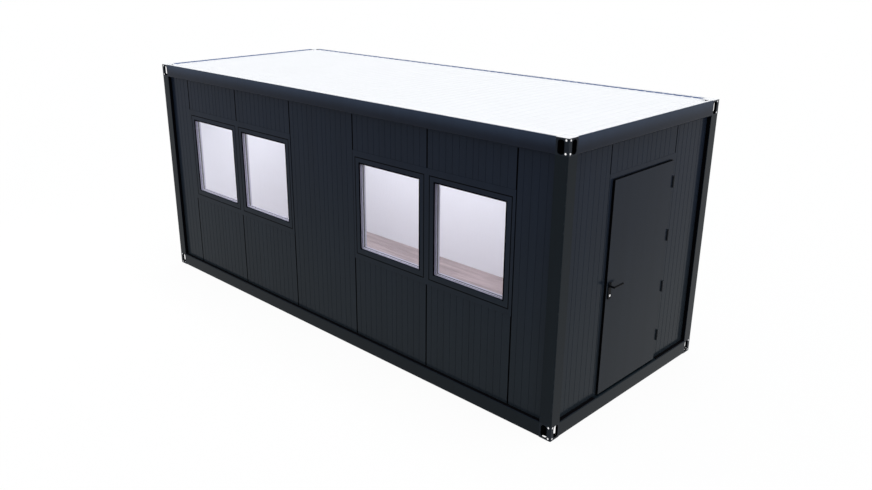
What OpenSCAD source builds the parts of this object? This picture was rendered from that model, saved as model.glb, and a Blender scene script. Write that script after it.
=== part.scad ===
// Container cabin: a steel frame with corner castings, sandwich wall panels, four windows and one door.
// Millimetres. X runs along the length, Y across the width and Z up.
// The origin is on the ground, at the centre of the frame. The windows face -Y and the door faces +X.

/* [Overall] */
// Length over the frame
length = 6000; // [5700:10:6400]
// Width over the frame
width = 2400; // [2340:10:2500]
// Height over the frame
height = 2600; // [2560:10:2800]

/* [Frame] */
// Face width of the posts and corner castings
post_w = 120; // [115:1:130]
// Height of the floor rails and lower castings
floor_rail_h = 140; // [135:1:150]
// Height of the roof rails and upper castings
roof_rail_h = 140; // [135:1:160]
// Steel thickness of posts and rails
steel_t = 4; // [3:0.5:5]
// Outer bend radius of posts and rails
bend_r = 8; // [6:1:10]
// Width of the rim round the roof
rim_w = 40; // [36:1:50]
// Width of the lip under a floor rail
floor_lip = 45; // [40:1:60]
// Depth of the roof seat below the rim
roof_drop = 16; // [14:1:22]
// Spacing of the floor crossmembers
crossmember_pitch = 600; // [400:10:700]

/* [Corner castings] */
// Wall thickness of a casting
casting_t = 8; // [6:0.5:10]
// Width of a lifting slot
slot_w = 64; // [54:1:64]
// Height of a lifting slot
slot_h = 116; // [90:1:118]
// Distance from the corner edge to the middle of a slot
slot_in = 72; // [72:1:76]
// Diameter of the sunk seat of a casting bolt
bolt_seat_d = 22; // [18:1:23]
// Depth of the sunk seat of a casting bolt
bolt_seat_in = 5; // [3:0.5:5]
// Diameter of a bolt hole
bolt_d = 11; // [9:0.5:13]
// Distance from the corner edge to the middle of a bolt
bolt_edge = 28; // [26:0.5:30]
// Distance from the top and foot of a casting to the middle of a bolt
bolt_level = 18; // [16:0.5:20]
// Width of the passage from a lower casting into the end rail
passage_w = 58; // [54:1:64]
// Width of the drain slots at roof level
drain_w = 50; // [30:1:60]
// Height of the drain slots at roof level
drain_h = 13; // [8:1:13]

/* [Wall panels] */
// Depth of the panel face behind the frame
panel_recess = 40; // [34:1:44]
// Thickness of a sandwich panel
panel_t = 60; // [50:1:70]
// Cover width of a panel
panel_module = 1000; // [980:1:1040]
// Width of the groove between two panels
joint_w = 14; // [8:1:20]
// Depth of the groove between two panels
joint_depth = 8; // [4:1:14]
// Spacing of the fine grooves in a panel
rib_pitch = 78; // [70:1:80]
// Distance from a panel's left edge to its first groove
rib_first = 66; // [50:1:80]
// Distance from a panel's right edge to its last groove
rib_last = 94; // [80:1:110]
// Width of a fine groove
rib_w = 7; // [4:0.5:10]
// Depth of a fine groove
rib_depth = 2; // [1:0.5:3]

/* [Windows] */
// Width of a window frame
window_w = 927; // [860:1:940]
// Height of a window frame
window_h = 984; // [900:1:1000]
// Height of a window frame's lower edge
window_z = 1048; // [1020:1:1060]
// Width of the bars at the sides of a window
window_side_bar = 58; // [45:1:70]
// Height of the bar over the glass
window_top_bar = 53; // [45:1:65]
// Height of the bar under the glass
window_sill_bar = 62; // [50:1:75]
// Distance from the outer face of a window to its glass
glass_in = 17; // [14:1:24]
// Thickness of the glass
glass_t = 6; // [4:1:12]
// Height of the flat surround's lower edge
surround_z = 987; // [970:1:1000]
// Height of the flat surround
surround_h = 1112; // [1070:1:1130]
// Thickness of the flat surround
surround_t = 4; // [2:0.5:6]

/* [Door] */
// Width of the door leaf
door_w = 965; // [900:1:980]
// Height of the door leaf
door_h = 1981; // [1900:1:2000]
// Height of the leaf's lower edge
door_z = 160; // [158:1:164]
// Width of the door's visible casing
casing_w = 47.5; // [40:0.5:60]
// Depth of the leaf's face behind the frame
door_recess = 15; // [12:1:17]
// How far the leaf's outer plate laps over the door frame
door_lap = 18; // [16:1:20]
// Number of hinges
hinge_count = 4; // [2:1:5]
// Height of a hinge
hinge_h = 110; // [80:1:140]
// Diameter of a hinge barrel
hinge_d = 18; // [16:1:20]
// Height of the lever above the ground
lever_z = 1195; // [1000:1:1250]
// Length of the lever's grip
lever_len = 135; // [110:1:150]
// Diameter of the lever's neck and grip
lever_d = 18; // [16:1:20]
// Distance of the grip from the handle plate
lever_out = 42; // [36:1:50]

/* [Roof, floor and ceiling] */
// Spacing of the ribs in the roof sheet
roof_rib_pitch = 100; // [80:1:140]
// Height of the ribs in the roof sheet
roof_rib_h = 3; // [2:0.5:6]
// Height of the finished floor
floor_z = 145; // [143:0.5:147]
// Thickness of the floor boards
floor_t = 22; // [18:1:24]
// Thickness of the ceiling panel
ceiling_t = 20; // [12:1:30]

/* [Hidden] */
$fn = 48;
FRONT = 0;
DOOR_END = 1;
BACK = 2;
BLANK_END = 3;

half_l = length / 2;
half_w = width / 2;
wall_in = panel_recess + panel_t;
panel_z0 = floor_rail_h;
panel_z1 = height - roof_rail_h;
room_l = length - 2 * wall_in;
room_w = width - 2 * wall_in;

roof_seat = roof_rail_h - roof_drop;
roof_sheet_t = 4;
roof_shelf = 40;
ceiling_lap = 20;
floor_sheet_t = 2;
crossmember_h = 100;
crossmember_w = 45;
crossmember_t = 3;
casting_r = 6;
slot_r = 26;
foot_slot = [84, 32];
foot_slot_at = [68, 30];
foot_slot_r = 14;

panel_gap = 2;
joint_share = (joint_w - panel_gap) / 2;
ribs_left = 7;
ribs_right = 5;
inner_rib_depth = 1;
seal_t = 3;
seal_face_in = 3;

window_gap = 2;
surround_gap = 4;
glass_bite = 10;
bead_w = 10;
bead_d = 8;
trim_w = 20;
trim_t = 16;
screen_in = 80;
screen_w = 18;
screen_d = 6;
frame_face = panel_recess - surround_t;

door_plate_t = 6;
door_body_t = 54;
door_gap = 8;
door_seal_t = 12;
door_seal_in = 3;
door_foot_lap = 12;
threshold_gap = 8;
door_frame_proud = 2;
door_top = door_z + door_h;
door_s = door_w / 2;
casing_s = door_s + casing_w;
casing_top = door_top + casing_w + 5;
door_body_s = door_s - door_lap;
door_body_z0 = door_z + door_foot_lap + threshold_gap;
door_body_z1 = door_top - door_lap - 12;
plate_in = door_recess + door_plate_t;
body_in = plate_in + door_body_t;
door_frame_face = panel_recess - door_frame_proud;

hinge_axis_s = door_s + hinge_d / 2 + 1;
hinge_axis_in = door_recess - 7;
hinge_low = 255;
hinge_high = 201;
pin_r = 5;
pin_play = 0.1;
knuckle_gap = 1;
weld_web = 11;

lever_s = -door_s + 42.5;
handle_plate = [44, 155];
handle_plate_t = 8;
handle_plate_r = 12;
handle_plate_z = lever_z - 42.5;
spindle_r = 5;
spindle_play = 0.5;
lock_z = lever_z - 85;
lock_d = 22;
lock_t = 4;
keyhole = [2.5, 10];

anthracite = [0.17, 0.19, 0.22];
dark_steel = [0.14, 0.16, 0.18];
rubber = [0.03, 0.03, 0.035];
white = [0.93, 0.94, 0.96];
galvanised = [0.62, 0.64, 0.66];

// Distance from the middle of the cabin to a side, and the frame's length along it
function reach(side) = side % 2 == 0 ? half_w : half_l;
function span(side) = side % 2 == 0 ? length : width;

// Middles of the panels that carry windows, from left to right
function window_s(number) = [-2, -1, 1, 2][number - 1] * panel_module;

// Height of the middle of a hinge, counted from the bottom
function hinge_z(i) = door_z + hinge_low + i * (door_h - hinge_low - hinge_high) / (hinge_count - 1);

// Fine grooves that fall between s0 and s1 on the panel whose cover starts at m0
function rib_places(m0, s0, s1) = [
    for (s = concat(
        [for (k = [0 : ribs_left - 1]) m0 + rib_first + k * rib_pitch],
        [for (k = [ribs_right - 1 : -1 : 0]) m0 + panel_module - rib_last - k * rib_pitch]))
    if (s > s0 + joint_w && s < s1 - joint_w) s
];

// Turns a side drawn along X, with its outer face at Y = 0 and its inside towards +Y, into its place
module on_side(side) rotate([0, 0, 90 * side]) translate([0, -reach(side), 0]) children();

// Puts a corner drawn with its edge on the Z axis, running inwards along +X and +Y, into its place
module at_corner(sx, sy)
    translate([sx * half_l, sy * half_w, 0])
        mirror([sx > 0 ? 1 : 0, 0, 0])
            mirror([0, sy > 0 ? 1 : 0, 0])
                children();

module at_corners() for (sx = [-1, 1]) for (sy = [-1, 1]) at_corner(sx, sy) children();

// Runs a section, drawn inwards and upwards, along a side for a given length
module run_along(run) rotate([90, 0, 90]) translate([0, 0, -run / 2]) linear_extrude(run) children();

// Extrudes an outline drawn along a side and upwards from one depth to another
module between_depths(d0, d1) translate([0, d1, 0]) rotate([90, 0, 0]) linear_extrude(d1 - d0) children();

// What a bend of radius r takes off a square corner at the point [at, at]
module bend_waste(at, r) translate([at, at]) difference() {
    translate([-1, -1]) square(r + 1);
    translate([r, r]) circle(r);
}

module rounded_rect(w, h, r) {
    square([w - 2 * r, h], center = true);
    square([w, h - 2 * r], center = true);
    for (x = [-1, 1]) for (y = [-1, 1]) translate([x * (w / 2 - r), y * (h / 2 - r)]) circle(r);
}

// Rectangle from [-s, z0] to [s, z1]
module upright(s, z0, z1) translate([-s, z0]) square([2 * s, z1 - z0]);

// Corner castings

// What the two outer faces of a casting lose: the slot and two sunk bolt seats each
module casting_cuts(slot_mid, h) {
    for (turn = [0, 1]) mirror([turn, -turn, 0]) {
        between_depths(-1, casting_t + 1) {
            translate([slot_in, slot_mid]) rounded_rect(slot_w, slot_h, slot_r);
            bolt_places(h) circle(d = bolt_d);
        }
        between_depths(-1, bolt_seat_in) bolt_places(h) circle(d = bolt_seat_d);
    }
}

module bolt_places(h) for (z = [bolt_level, h - bolt_level]) translate([bolt_edge, z]) children();

module casting_box(h) difference() {
    linear_extrude(h) difference() {
        square(post_w);
        bend_waste(0, casting_r);
    }
    translate([1, 1, 1] * casting_t)
        cube([post_w - 2 * casting_t, post_w - 2 * casting_t, h - 2 * casting_t]);
}

// Open to the ground through a slot in the foot, and to the hollow of the end rail through a passage
module lower_casting() difference() {
    casting_box(floor_rail_h);
    casting_cuts(floor_rail_h - casting_t - slot_h / 2, floor_rail_h);
    translate(concat(foot_slot_at, -1)) linear_extrude(casting_t + 2)
        rounded_rect(foot_slot[0], foot_slot[1], foot_slot_r);
    between_depths(post_w - casting_t - 1, post_w + 1) translate([post_w / 2, casting_t + slot_h / 2])
        rounded_rect(passage_w, slot_h, slot_r);
}

// Two slots in the inner faces, through which the roof drains into the casting
module drain_slots() for (turn = [0, 1]) mirror([turn, -turn, 0])
    translate([post_w / 2, 0, roof_seat]) between_depths(post_w - casting_t - 1, post_w + 1)
        translate([-drain_w / 2, 0]) square([drain_w, drain_h]);

module upper_casting() translate([0, 0, panel_z1]) difference() {
    casting_box(roof_rail_h);
    casting_cuts(casting_t + slot_h / 2, roof_rail_h);
    drain_slots();
}

module lower_corner_castings() color(dark_steel) at_corners() lower_casting();

module upper_corner_castings() color(dark_steel) at_corners() upper_casting();

// Posts and rails

module post_outline(inset) {
    tip = post_w - inset;
    lap = panel_recess - inset;
    core = wall_in - inset;
    difference() {
        polygon([[inset, inset], [tip, inset], [tip, lap], [core, lap],
                 [core, core], [lap, core], [lap, tip], [inset, tip]]);
        bend_waste(inset, bend_r - inset);
    }
}

module post() translate([0, 0, panel_z0]) linear_extrude(panel_z1 - panel_z0) difference() {
    post_outline(0);
    post_outline(steel_t);
}

module front_left_post() color(anthracite) at_corner(-1, -1) post();

module front_right_post() color(anthracite) at_corner(1, -1) post();

module back_left_post() color(anthracite) at_corner(-1, 1) post();

module back_right_post() color(anthracite) at_corner(1, 1) post();

module outer_bends(h) {
    bend_waste(0, bend_r);
    translate([0, h]) mirror([0, 1]) bend_waste(0, bend_r);
}

module floor_rail_section() difference() {
    square([wall_in, floor_rail_h]);
    translate([steel_t, steel_t]) square([wall_in, floor_rail_h - 2 * steel_t]);
    translate([floor_lip, -1]) square([wall_in, steel_t + 2]);
    outer_bends(floor_rail_h);
}

module roof_rail_section() difference() {
    sole = wall_in + ceiling_lap;
    shelf = rim_w + roof_shelf;
    t = steel_t;
    polygon([[0, 0], [sole, 0], [sole, t], [t, t], [t, roof_rail_h - t], [rim_w - t, roof_rail_h - t],
             [rim_w - t, roof_seat - t], [shelf, roof_seat - t], [shelf, roof_seat], [rim_w, roof_seat],
             [rim_w, roof_rail_h], [0, roof_rail_h]]);
    outer_bends(roof_rail_h);
}

module floor_rail(side) color(anthracite) on_side(side)
    run_along(span(side) - 2 * post_w) floor_rail_section();

module roof_rail(side) color(anthracite) on_side(side)
    translate([0, 0, panel_z1]) run_along(span(side) - 2 * post_w) roof_rail_section();

module front_floor_rail() floor_rail(FRONT);

module back_floor_rail() floor_rail(BACK);

module left_floor_rail() floor_rail(BLANK_END);

module right_floor_rail() floor_rail(DOOR_END);

module front_roof_rail() roof_rail(FRONT);

module back_roof_rail() roof_rail(BACK);

module left_roof_rail() roof_rail(BLANK_END);

module right_roof_rail() roof_rail(DOOR_END);

// Floor

module crossmember_section() difference() {
    square([crossmember_w, crossmember_h]);
    translate([crossmember_t, crossmember_t])
        square([crossmember_w, crossmember_h - 2 * crossmember_t]);
}

module floor_crossmembers() color(galvanised) {
    count = floor((room_l - crossmember_pitch / 2) / crossmember_pitch) + 1;
    low = floor_z - floor_t - floor_sheet_t - crossmember_h;
    for (k = [0 : count - 1])
        translate([(k - (count - 1) / 2) * crossmember_pitch - crossmember_w / 2, 0, low])
            rotate([90, 0, 0])
                translate([0, 0, steel_t - half_w]) linear_extrude(width - 2 * steel_t)
                    crossmember_section();
}

// A floor layer from wall to wall, cut round the lower castings
module floor_layer(low, thickness) difference() {
    translate([-room_l / 2, -room_w / 2, low]) cube([room_l, room_w, thickness]);
    at_corners() translate([0, 0, -1]) cube([post_w, post_w, floor_rail_h + 1]);
}

module underfloor_sheet() color(galvanised) floor_layer(floor_z - floor_t - floor_sheet_t, floor_sheet_t);

module floor_deck() color([0.55, 0.43, 0.36]) floor_layer(floor_z - floor_t, floor_t);

// Roof and ceiling

// The sheet between the rims, notched round the upper castings
module roof_sheet() color(white) difference() {
    roof_sheet_solid();
    at_corners() translate([0, 0, panel_z1]) cube([post_w, post_w, roof_rail_h]);
}

module roof_sheet_solid() {
    edge = half_l - rim_w;
    foot = 13;
    crown = 6;
    ribs = floor((2 * edge - 2 * foot) / roof_rib_pitch);
    places = [for (k = [0 : ribs - 1]) (k - (ribs - 1) / 2) * roof_rib_pitch];
    top = [for (x = places) for (p = [[-foot, 0], [-crown, 1], [crown, 1], [foot, 0]])
           [x + p[0], roof_sheet_t + p[1] * roof_rib_h]];
    translate([0, half_w - rim_w, panel_z1 + roof_seat]) rotate([90, 0, 0])
        linear_extrude(width - 2 * rim_w)
            polygon(concat([[-edge, 0], [-edge, roof_sheet_t]], top, [[edge, roof_sheet_t], [edge, 0]]));
}

module ceiling() color(white)
    translate([-room_l / 2, -room_w / 2, panel_z1 - ceiling_t]) cube([room_l, room_w, ceiling_t]);

// Wall panels

// A panel's plan from s0 to s1, with stepped edges and fine grooves on both skins
module panel_plan(m0, s0, s1) {
    left = s0 + panel_gap / 2;
    right = s1 - panel_gap / 2;
    step = panel_recess + joint_depth;
    places = rib_places(m0, s0, s1);
    outer = [for (s = places) for (k = [-1, 0, 1])
             [s + k * rib_w / 2, panel_recess + (1 - abs(k)) * rib_depth]];
    inner = [for (i = [len(places) - 1 : -1 : 0]) for (k = [1, 0, -1])
             [places[i] + k * rib_w / 2, wall_in - (1 - abs(k)) * inner_rib_depth]];
    polygon(concat(
        [[left, wall_in], [left, step], [left + joint_share, step], [left + joint_share, panel_recess]],
        outer,
        [[right - joint_share, panel_recess], [right - joint_share, step], [right, step], [right, wall_in]],
        inner));
}

module panel(m0, s0, s1, z0 = panel_z0, z1 = panel_z1)
    color(anthracite) translate([0, 0, z0]) linear_extrude(z1 - z0) panel_plan(m0, s0, s1);

// The panel whose cover is centred k modules from the middle of a side, cut off at the corner posts
module side_panel(side, k) {
    m0 = (k - 0.5) * panel_module;
    end = span(side) / 2 - wall_in;
    panel(m0, max(m0, -end), min(m0 + panel_module, end));
}

module plain_wall(side, reach_k) on_side(side) for (k = [-reach_k : reach_k]) side_panel(side, k);

module window_outline(grow) translate([-window_w / 2 - grow, window_z - grow])
    square([window_w + 2 * grow, window_h + 2 * grow]);

module glass_outline(grow)
    translate([window_side_bar - window_w / 2 - grow, window_z + window_sill_bar - grow])
        square([window_w - 2 * window_side_bar + 2 * grow,
                window_h - window_sill_bar - window_top_bar + 2 * grow]);

module front_window_panel(number) on_side(FRONT) difference() {
    side_panel(FRONT, window_s(number) / panel_module);
    translate([window_s(number), 0, 0]) between_depths(0, wall_in + 1) window_outline(window_gap);
}

module front_left_panel() on_side(FRONT) side_panel(FRONT, -3);

module front_window_panel_1() front_window_panel(1);

module front_window_panel_2() front_window_panel(2);

module front_centre_panel() on_side(FRONT) side_panel(FRONT, 0);

module front_window_panel_3() front_window_panel(3);

module front_window_panel_4() front_window_panel(4);

module front_right_panel() on_side(FRONT) side_panel(FRONT, 3);

module back_wall_panels() plain_wall(BACK, 3);

module left_wall_panels() plain_wall(BLANK_END, 1);

module door_wall_left_panel() on_side(DOOR_END) panel(-1.5 * panel_module, wall_in - half_w, -casing_s);

module door_wall_right_panel() on_side(DOOR_END) panel(0.5 * panel_module, casing_s, half_w - wall_in);

module door_wall_top_panel() on_side(DOOR_END)
    panel(-0.5 * panel_module, -casing_s, casing_s, casing_top, panel_z1);

// Seals that line the recess between the frame and the panels, cut off at the door frame

module wall_seal(side) {
    s = span(side) / 2 - post_w;
    on_side(side) between_depths(seal_face_in, panel_recess) difference() {
        upright(s, panel_z0, panel_z1);
        upright(s - seal_t, panel_z0 + seal_t, panel_z1 - seal_t);
        if (side == DOOR_END) upright(casing_s, 0, casing_top);
    }
}

module wall_seals() color(rubber) for (side = [FRONT, DOOR_END, BACK, BLANK_END]) wall_seal(side);

// Windows

module window_surround(mid) difference() {
    between_depths(frame_face, panel_recess) translate([mid, 0])
        upright(panel_module, surround_z, surround_z + surround_h);
    for (k = [-0.5, 0.5]) translate([mid + k * panel_module, 0, 0])
        between_depths(0, panel_recess + 1) window_outline(surround_gap);
}

module window_surrounds() color(anthracite) on_side(FRONT)
    for (k = [-1.5, 1.5]) window_surround(k * panel_module);

module pane_solid() {
    d0 = frame_face + glass_in;
    between_depths(d0, d0 + glass_t) glass_outline(glass_bite);
}

// One frame through the wall, with a stepped bead outside, grooves for the glass and an insect screen,
// and a trim inside
module window_frame(number) color(dark_steel) on_side(FRONT) translate([window_s(number), 0, 0])
    difference() {
        union() {
            between_depths(frame_face, wall_in + trim_t) window_outline(0);
            between_depths(wall_in, wall_in + trim_t) window_outline(trim_w);
        }
        between_depths(0, wall_in + trim_t + 1) glass_outline(0);
        between_depths(0, frame_face + bead_d) glass_outline(bead_w);
        between_depths(screen_in, screen_in + screen_w) glass_outline(screen_d);
        pane_solid();
    }

module window_frame_1() window_frame(1);

module window_frame_2() window_frame(2);

module window_frame_3() window_frame(3);

module window_frame_4() window_frame(4);

module window_panes() color([0.75, 0.85, 0.9, 0.35]) on_side(FRONT)
    for (number = [1 : 4]) translate([window_s(number), 0, 0]) pane_solid();

// Door

module door_frame() color(anthracite) on_side(DOOR_END) between_depths(door_frame_face, wall_in)
    difference() {
        upright(casing_s, panel_z0, casing_top);
        upright(door_body_s + door_gap, door_z + door_foot_lap, door_body_z1 + door_gap);
    }

module spindle_hole(play) translate([lever_s, lever_z]) circle(spindle_r + play);

module door_leaf() color(anthracite) on_side(DOOR_END) {
    between_depths(door_recess, plate_in) difference() {
        upright(door_s, door_z, door_top);
        spindle_hole(spindle_play);
    }
    between_depths(plate_in, body_in) difference() {
        upright(door_body_s, door_body_z0, door_body_z1);
        spindle_hole(spindle_play);
    }
}

module door_seal() color(rubber) on_side(DOOR_END) between_depths(plate_in, plate_in + door_seal_t)
    difference() {
        upright(door_s - door_seal_in, door_z + door_seal_in, door_top - door_seal_in);
        upright(door_body_s, door_body_z0, door_body_z1);
    }

// Puts a hinge drawn with its pin on the Z axis and its middle at the origin at each hinge's place
module at_hinges() on_side(DOOR_END) for (i = [0 : hinge_count - 1])
    translate([hinge_axis_s, hinge_axis_in, hinge_z(i)]) children();

module knuckle_half() cylinder(d = hinge_d, h = (hinge_h - knuckle_gap) / 2);

module frame_hinges() color(rubber) at_hinges() {
    half = (hinge_h - knuckle_gap) / 2;
    translate([0, 0, -hinge_h / 2]) {
        knuckle_half();
        translate([-weld_web / 2, 0, 0]) cube([weld_web, door_frame_face - hinge_axis_in, half]);
        cylinder(r = pin_r, h = hinge_h - hinge_d / 2);
    }
}

module leaf_hinges() color(rubber) at_hinges() {
    half = (hinge_h - knuckle_gap) / 2;
    difference() {
        translate([0, 0, knuckle_gap / 2]) {
            knuckle_half();
            translate([door_s - hinge_axis_s, door_recess - hinge_axis_in, 0])
                cube([hinge_axis_s - door_s, door_plate_t, half]);
        }
        cylinder(r = pin_r + pin_play, h = hinge_h / 2 - hinge_d / 2 + 1);
    }
}

// Door handle and lock

module handle_plate_solid(d0) between_depths(d0, d0 + handle_plate_t) difference() {
    translate([lever_s, handle_plate_z]) rounded_rect(handle_plate[0], handle_plate[1], handle_plate_r);
    spindle_hole(spindle_play);
}

module handle_plates() color(rubber) on_side(DOOR_END) {
    handle_plate_solid(door_recess - handle_plate_t);
    handle_plate_solid(body_in);
}

module lock_solid(d0) between_depths(d0, d0 + lock_t) translate([lever_s, lock_z]) difference() {
    circle(d = lock_d);
    square(keyhole, center = true);
}

module lock_cylinders() color([0.8, 0.81, 0.83]) on_side(DOOR_END) {
    lock_solid(door_recess - handle_plate_t - lock_t);
    lock_solid(body_in + handle_plate_t);
}

// One side of the lever: a neck out of the plate, a round elbow and a grip with a round end
module lever_arm() {
    rotate([90, 0, 0]) cylinder(d = lever_d, h = lever_out);
    translate([0, -lever_out, 0]) {
        sphere(d = lever_d);
        rotate([0, 90, 0]) cylinder(d = lever_d, h = lever_len);
        translate([lever_len, 0, 0]) sphere(d = lever_d);
    }
}

module handle_lever() color(rubber) on_side(DOOR_END) translate([lever_s, 0, lever_z]) {
    outer = door_recess - handle_plate_t - spindle_play;
    inner = body_in + handle_plate_t + spindle_play;
    translate([0, outer, 0]) lever_arm();
    translate([0, inner, 0]) mirror([0, 1, 0]) lever_arm();
    translate([0, inner, 0]) rotate([90, 0, 0]) cylinder(r = spindle_r, h = inner - outer);
}

lower_corner_castings();
upper_corner_castings();
front_left_post();
front_right_post();
back_left_post();
back_right_post();
front_floor_rail();
back_floor_rail();
left_floor_rail();
right_floor_rail();
front_roof_rail();
back_roof_rail();
left_roof_rail();
right_roof_rail();
floor_crossmembers();
underfloor_sheet();
floor_deck();
roof_sheet();
ceiling();
front_left_panel();
front_window_panel_1();
front_window_panel_2();
front_centre_panel();
front_window_panel_3();
front_window_panel_4();
front_right_panel();
back_wall_panels();
left_wall_panels();
door_wall_left_panel();
door_wall_right_panel();
door_wall_top_panel();
wall_seals();
window_surrounds();
window_frame_1();
window_frame_2();
window_frame_3();
window_frame_4();
window_panes();
door_frame();
door_leaf();
door_seal();
frame_hinges();
leaf_hinges();
handle_plates();
lock_cylinders();
handle_lever();
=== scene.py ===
"""Looks of the container cabin: finishes, small fittings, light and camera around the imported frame."""

from __future__ import annotations

import logging
import math
from collections.abc import Iterable, Iterator
from dataclasses import dataclass, field
from enum import Enum
from functools import reduce
from itertools import product
from typing import ClassVar

import bmesh
import bpy
from bmesh.types import BMEdge, BMesh, BMFace, BMVert
from bpy.types import ID, Material, Node, NodeOutputs, NodeSocket, NodeTree, Object
from mathutils import Matrix, Vector


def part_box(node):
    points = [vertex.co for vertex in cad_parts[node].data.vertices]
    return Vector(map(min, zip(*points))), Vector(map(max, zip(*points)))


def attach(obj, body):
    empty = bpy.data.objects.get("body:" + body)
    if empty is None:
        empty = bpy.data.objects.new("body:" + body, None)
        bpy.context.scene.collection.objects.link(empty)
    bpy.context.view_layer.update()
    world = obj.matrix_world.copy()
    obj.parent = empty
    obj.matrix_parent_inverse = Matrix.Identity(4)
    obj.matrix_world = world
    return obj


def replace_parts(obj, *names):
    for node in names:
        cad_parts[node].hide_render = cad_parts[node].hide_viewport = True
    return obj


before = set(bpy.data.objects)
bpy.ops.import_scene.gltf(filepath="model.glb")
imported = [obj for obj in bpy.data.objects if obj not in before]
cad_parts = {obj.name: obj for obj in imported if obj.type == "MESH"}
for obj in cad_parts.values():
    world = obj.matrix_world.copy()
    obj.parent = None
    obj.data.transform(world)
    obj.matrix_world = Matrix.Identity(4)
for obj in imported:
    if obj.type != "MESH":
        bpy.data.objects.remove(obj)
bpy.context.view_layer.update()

LOG = logging.getLogger("cabin")
MM = 0.001
# Half size of a box whose sides lie far outside the cabin
FAR = 9.0

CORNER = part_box("upper_corner_castings")[1]
TOP_FACE_Z = CORNER.z - 1.5 * MM
POST_WIDTH = CORNER.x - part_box("front_right_post")[0].x
PANEL_PITCH = 1.0
PANEL_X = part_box("door_wall_left_panel")[1].x
PANEL_IN_Y, PANEL_Y = (corner.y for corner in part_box("back_wall_panels"))
ROOF_LOW, ROOF_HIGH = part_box("roof_sheet")
CEILING_LOW, CEILING_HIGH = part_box("ceiling")
DECK_LOW, DECK_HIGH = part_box("floor_deck")
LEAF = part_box("door_leaf")[1]
CASING_LOW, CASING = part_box("door_frame")
WINDOW_LOW, WINDOW_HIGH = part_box("window_frame_1")
WINDOW_TRIM = 20 * MM
WINDOW_GAP = 4 * MM
BEAD_DEPTH = 8 * MM

Colour = tuple[float, float, float]
Place = tuple[float, float, float]
Profile = list[tuple[float, float]]
Element = BMVert | BMEdge | BMFace
Inputs = dict[str, object]
Sockets = dict[str, NodeSocket]


class Body(str, Enum):
    """Bodies of the part that pieces ride on."""

    CABIN = "cabin"
    DOOR = "door"


class Slot(str, Enum):
    """Material slots of the record, which each new piece keeps beside its own finish."""

    PAINT = "anthracite_paint"
    WHITE = "white_paint"
    RUBBER = "black_rubber"
    BLACK_METAL = "black_metal"
    ZINC = "galvanised_steel"
    LAMINATE = "floor_laminate"


class Wall(Enum):
    """Sides of the cabin, in quarter turns from the window side."""

    FRONT = 0
    DOOR_END = 1
    BACK = 2
    BLANK_END = 3

    def place(self) -> Matrix:
        """Returns the move that puts a wall drawn along X, with its depth along Y, on this side."""
        reach = CORNER.x if self.value % 2 else CORNER.y
        return Matrix.Rotation(self.value * math.pi / 2, 4, "Z") @ Matrix.Translation((0, -reach, 0))


class WindowEdge(Enum):
    """Edges of a window that a ring can follow."""

    OUTLINE = "outer edge of the frame"
    DAYLIGHT = "edge of the clear opening"


def srgb(red: int, green: int, blue: int) -> Colour:
    """Turns a display colour into a linear one.

    Args:
        red: Red from 0 to 255.
        green: Green from 0 to 255.
        blue: Blue from 0 to 255.

    Returns:
        The linear colour.
    """
    parts = (value / 255 for value in (red, green, blue))
    return tuple(p / 12.92 if p <= 0.04045 else ((p + 0.055) / 1.055) ** 2.4 for p in parts)


def placed(name: str, data: ID) -> Object:
    """Makes an object of a mesh, lamp or camera and puts it in the scene.

    Args:
        name: The object's name.
        data: What it shows.

    Returns:
        The object.
    """
    made = bpy.data.objects.new(name, data)
    bpy.context.scene.collection.objects.link(made)
    return made


def once_each(parts: Iterable[Element]) -> list[Element]:
    """Returns mesh elements without repeats, in the order in which they come."""
    return list(dict.fromkeys(parts))


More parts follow.
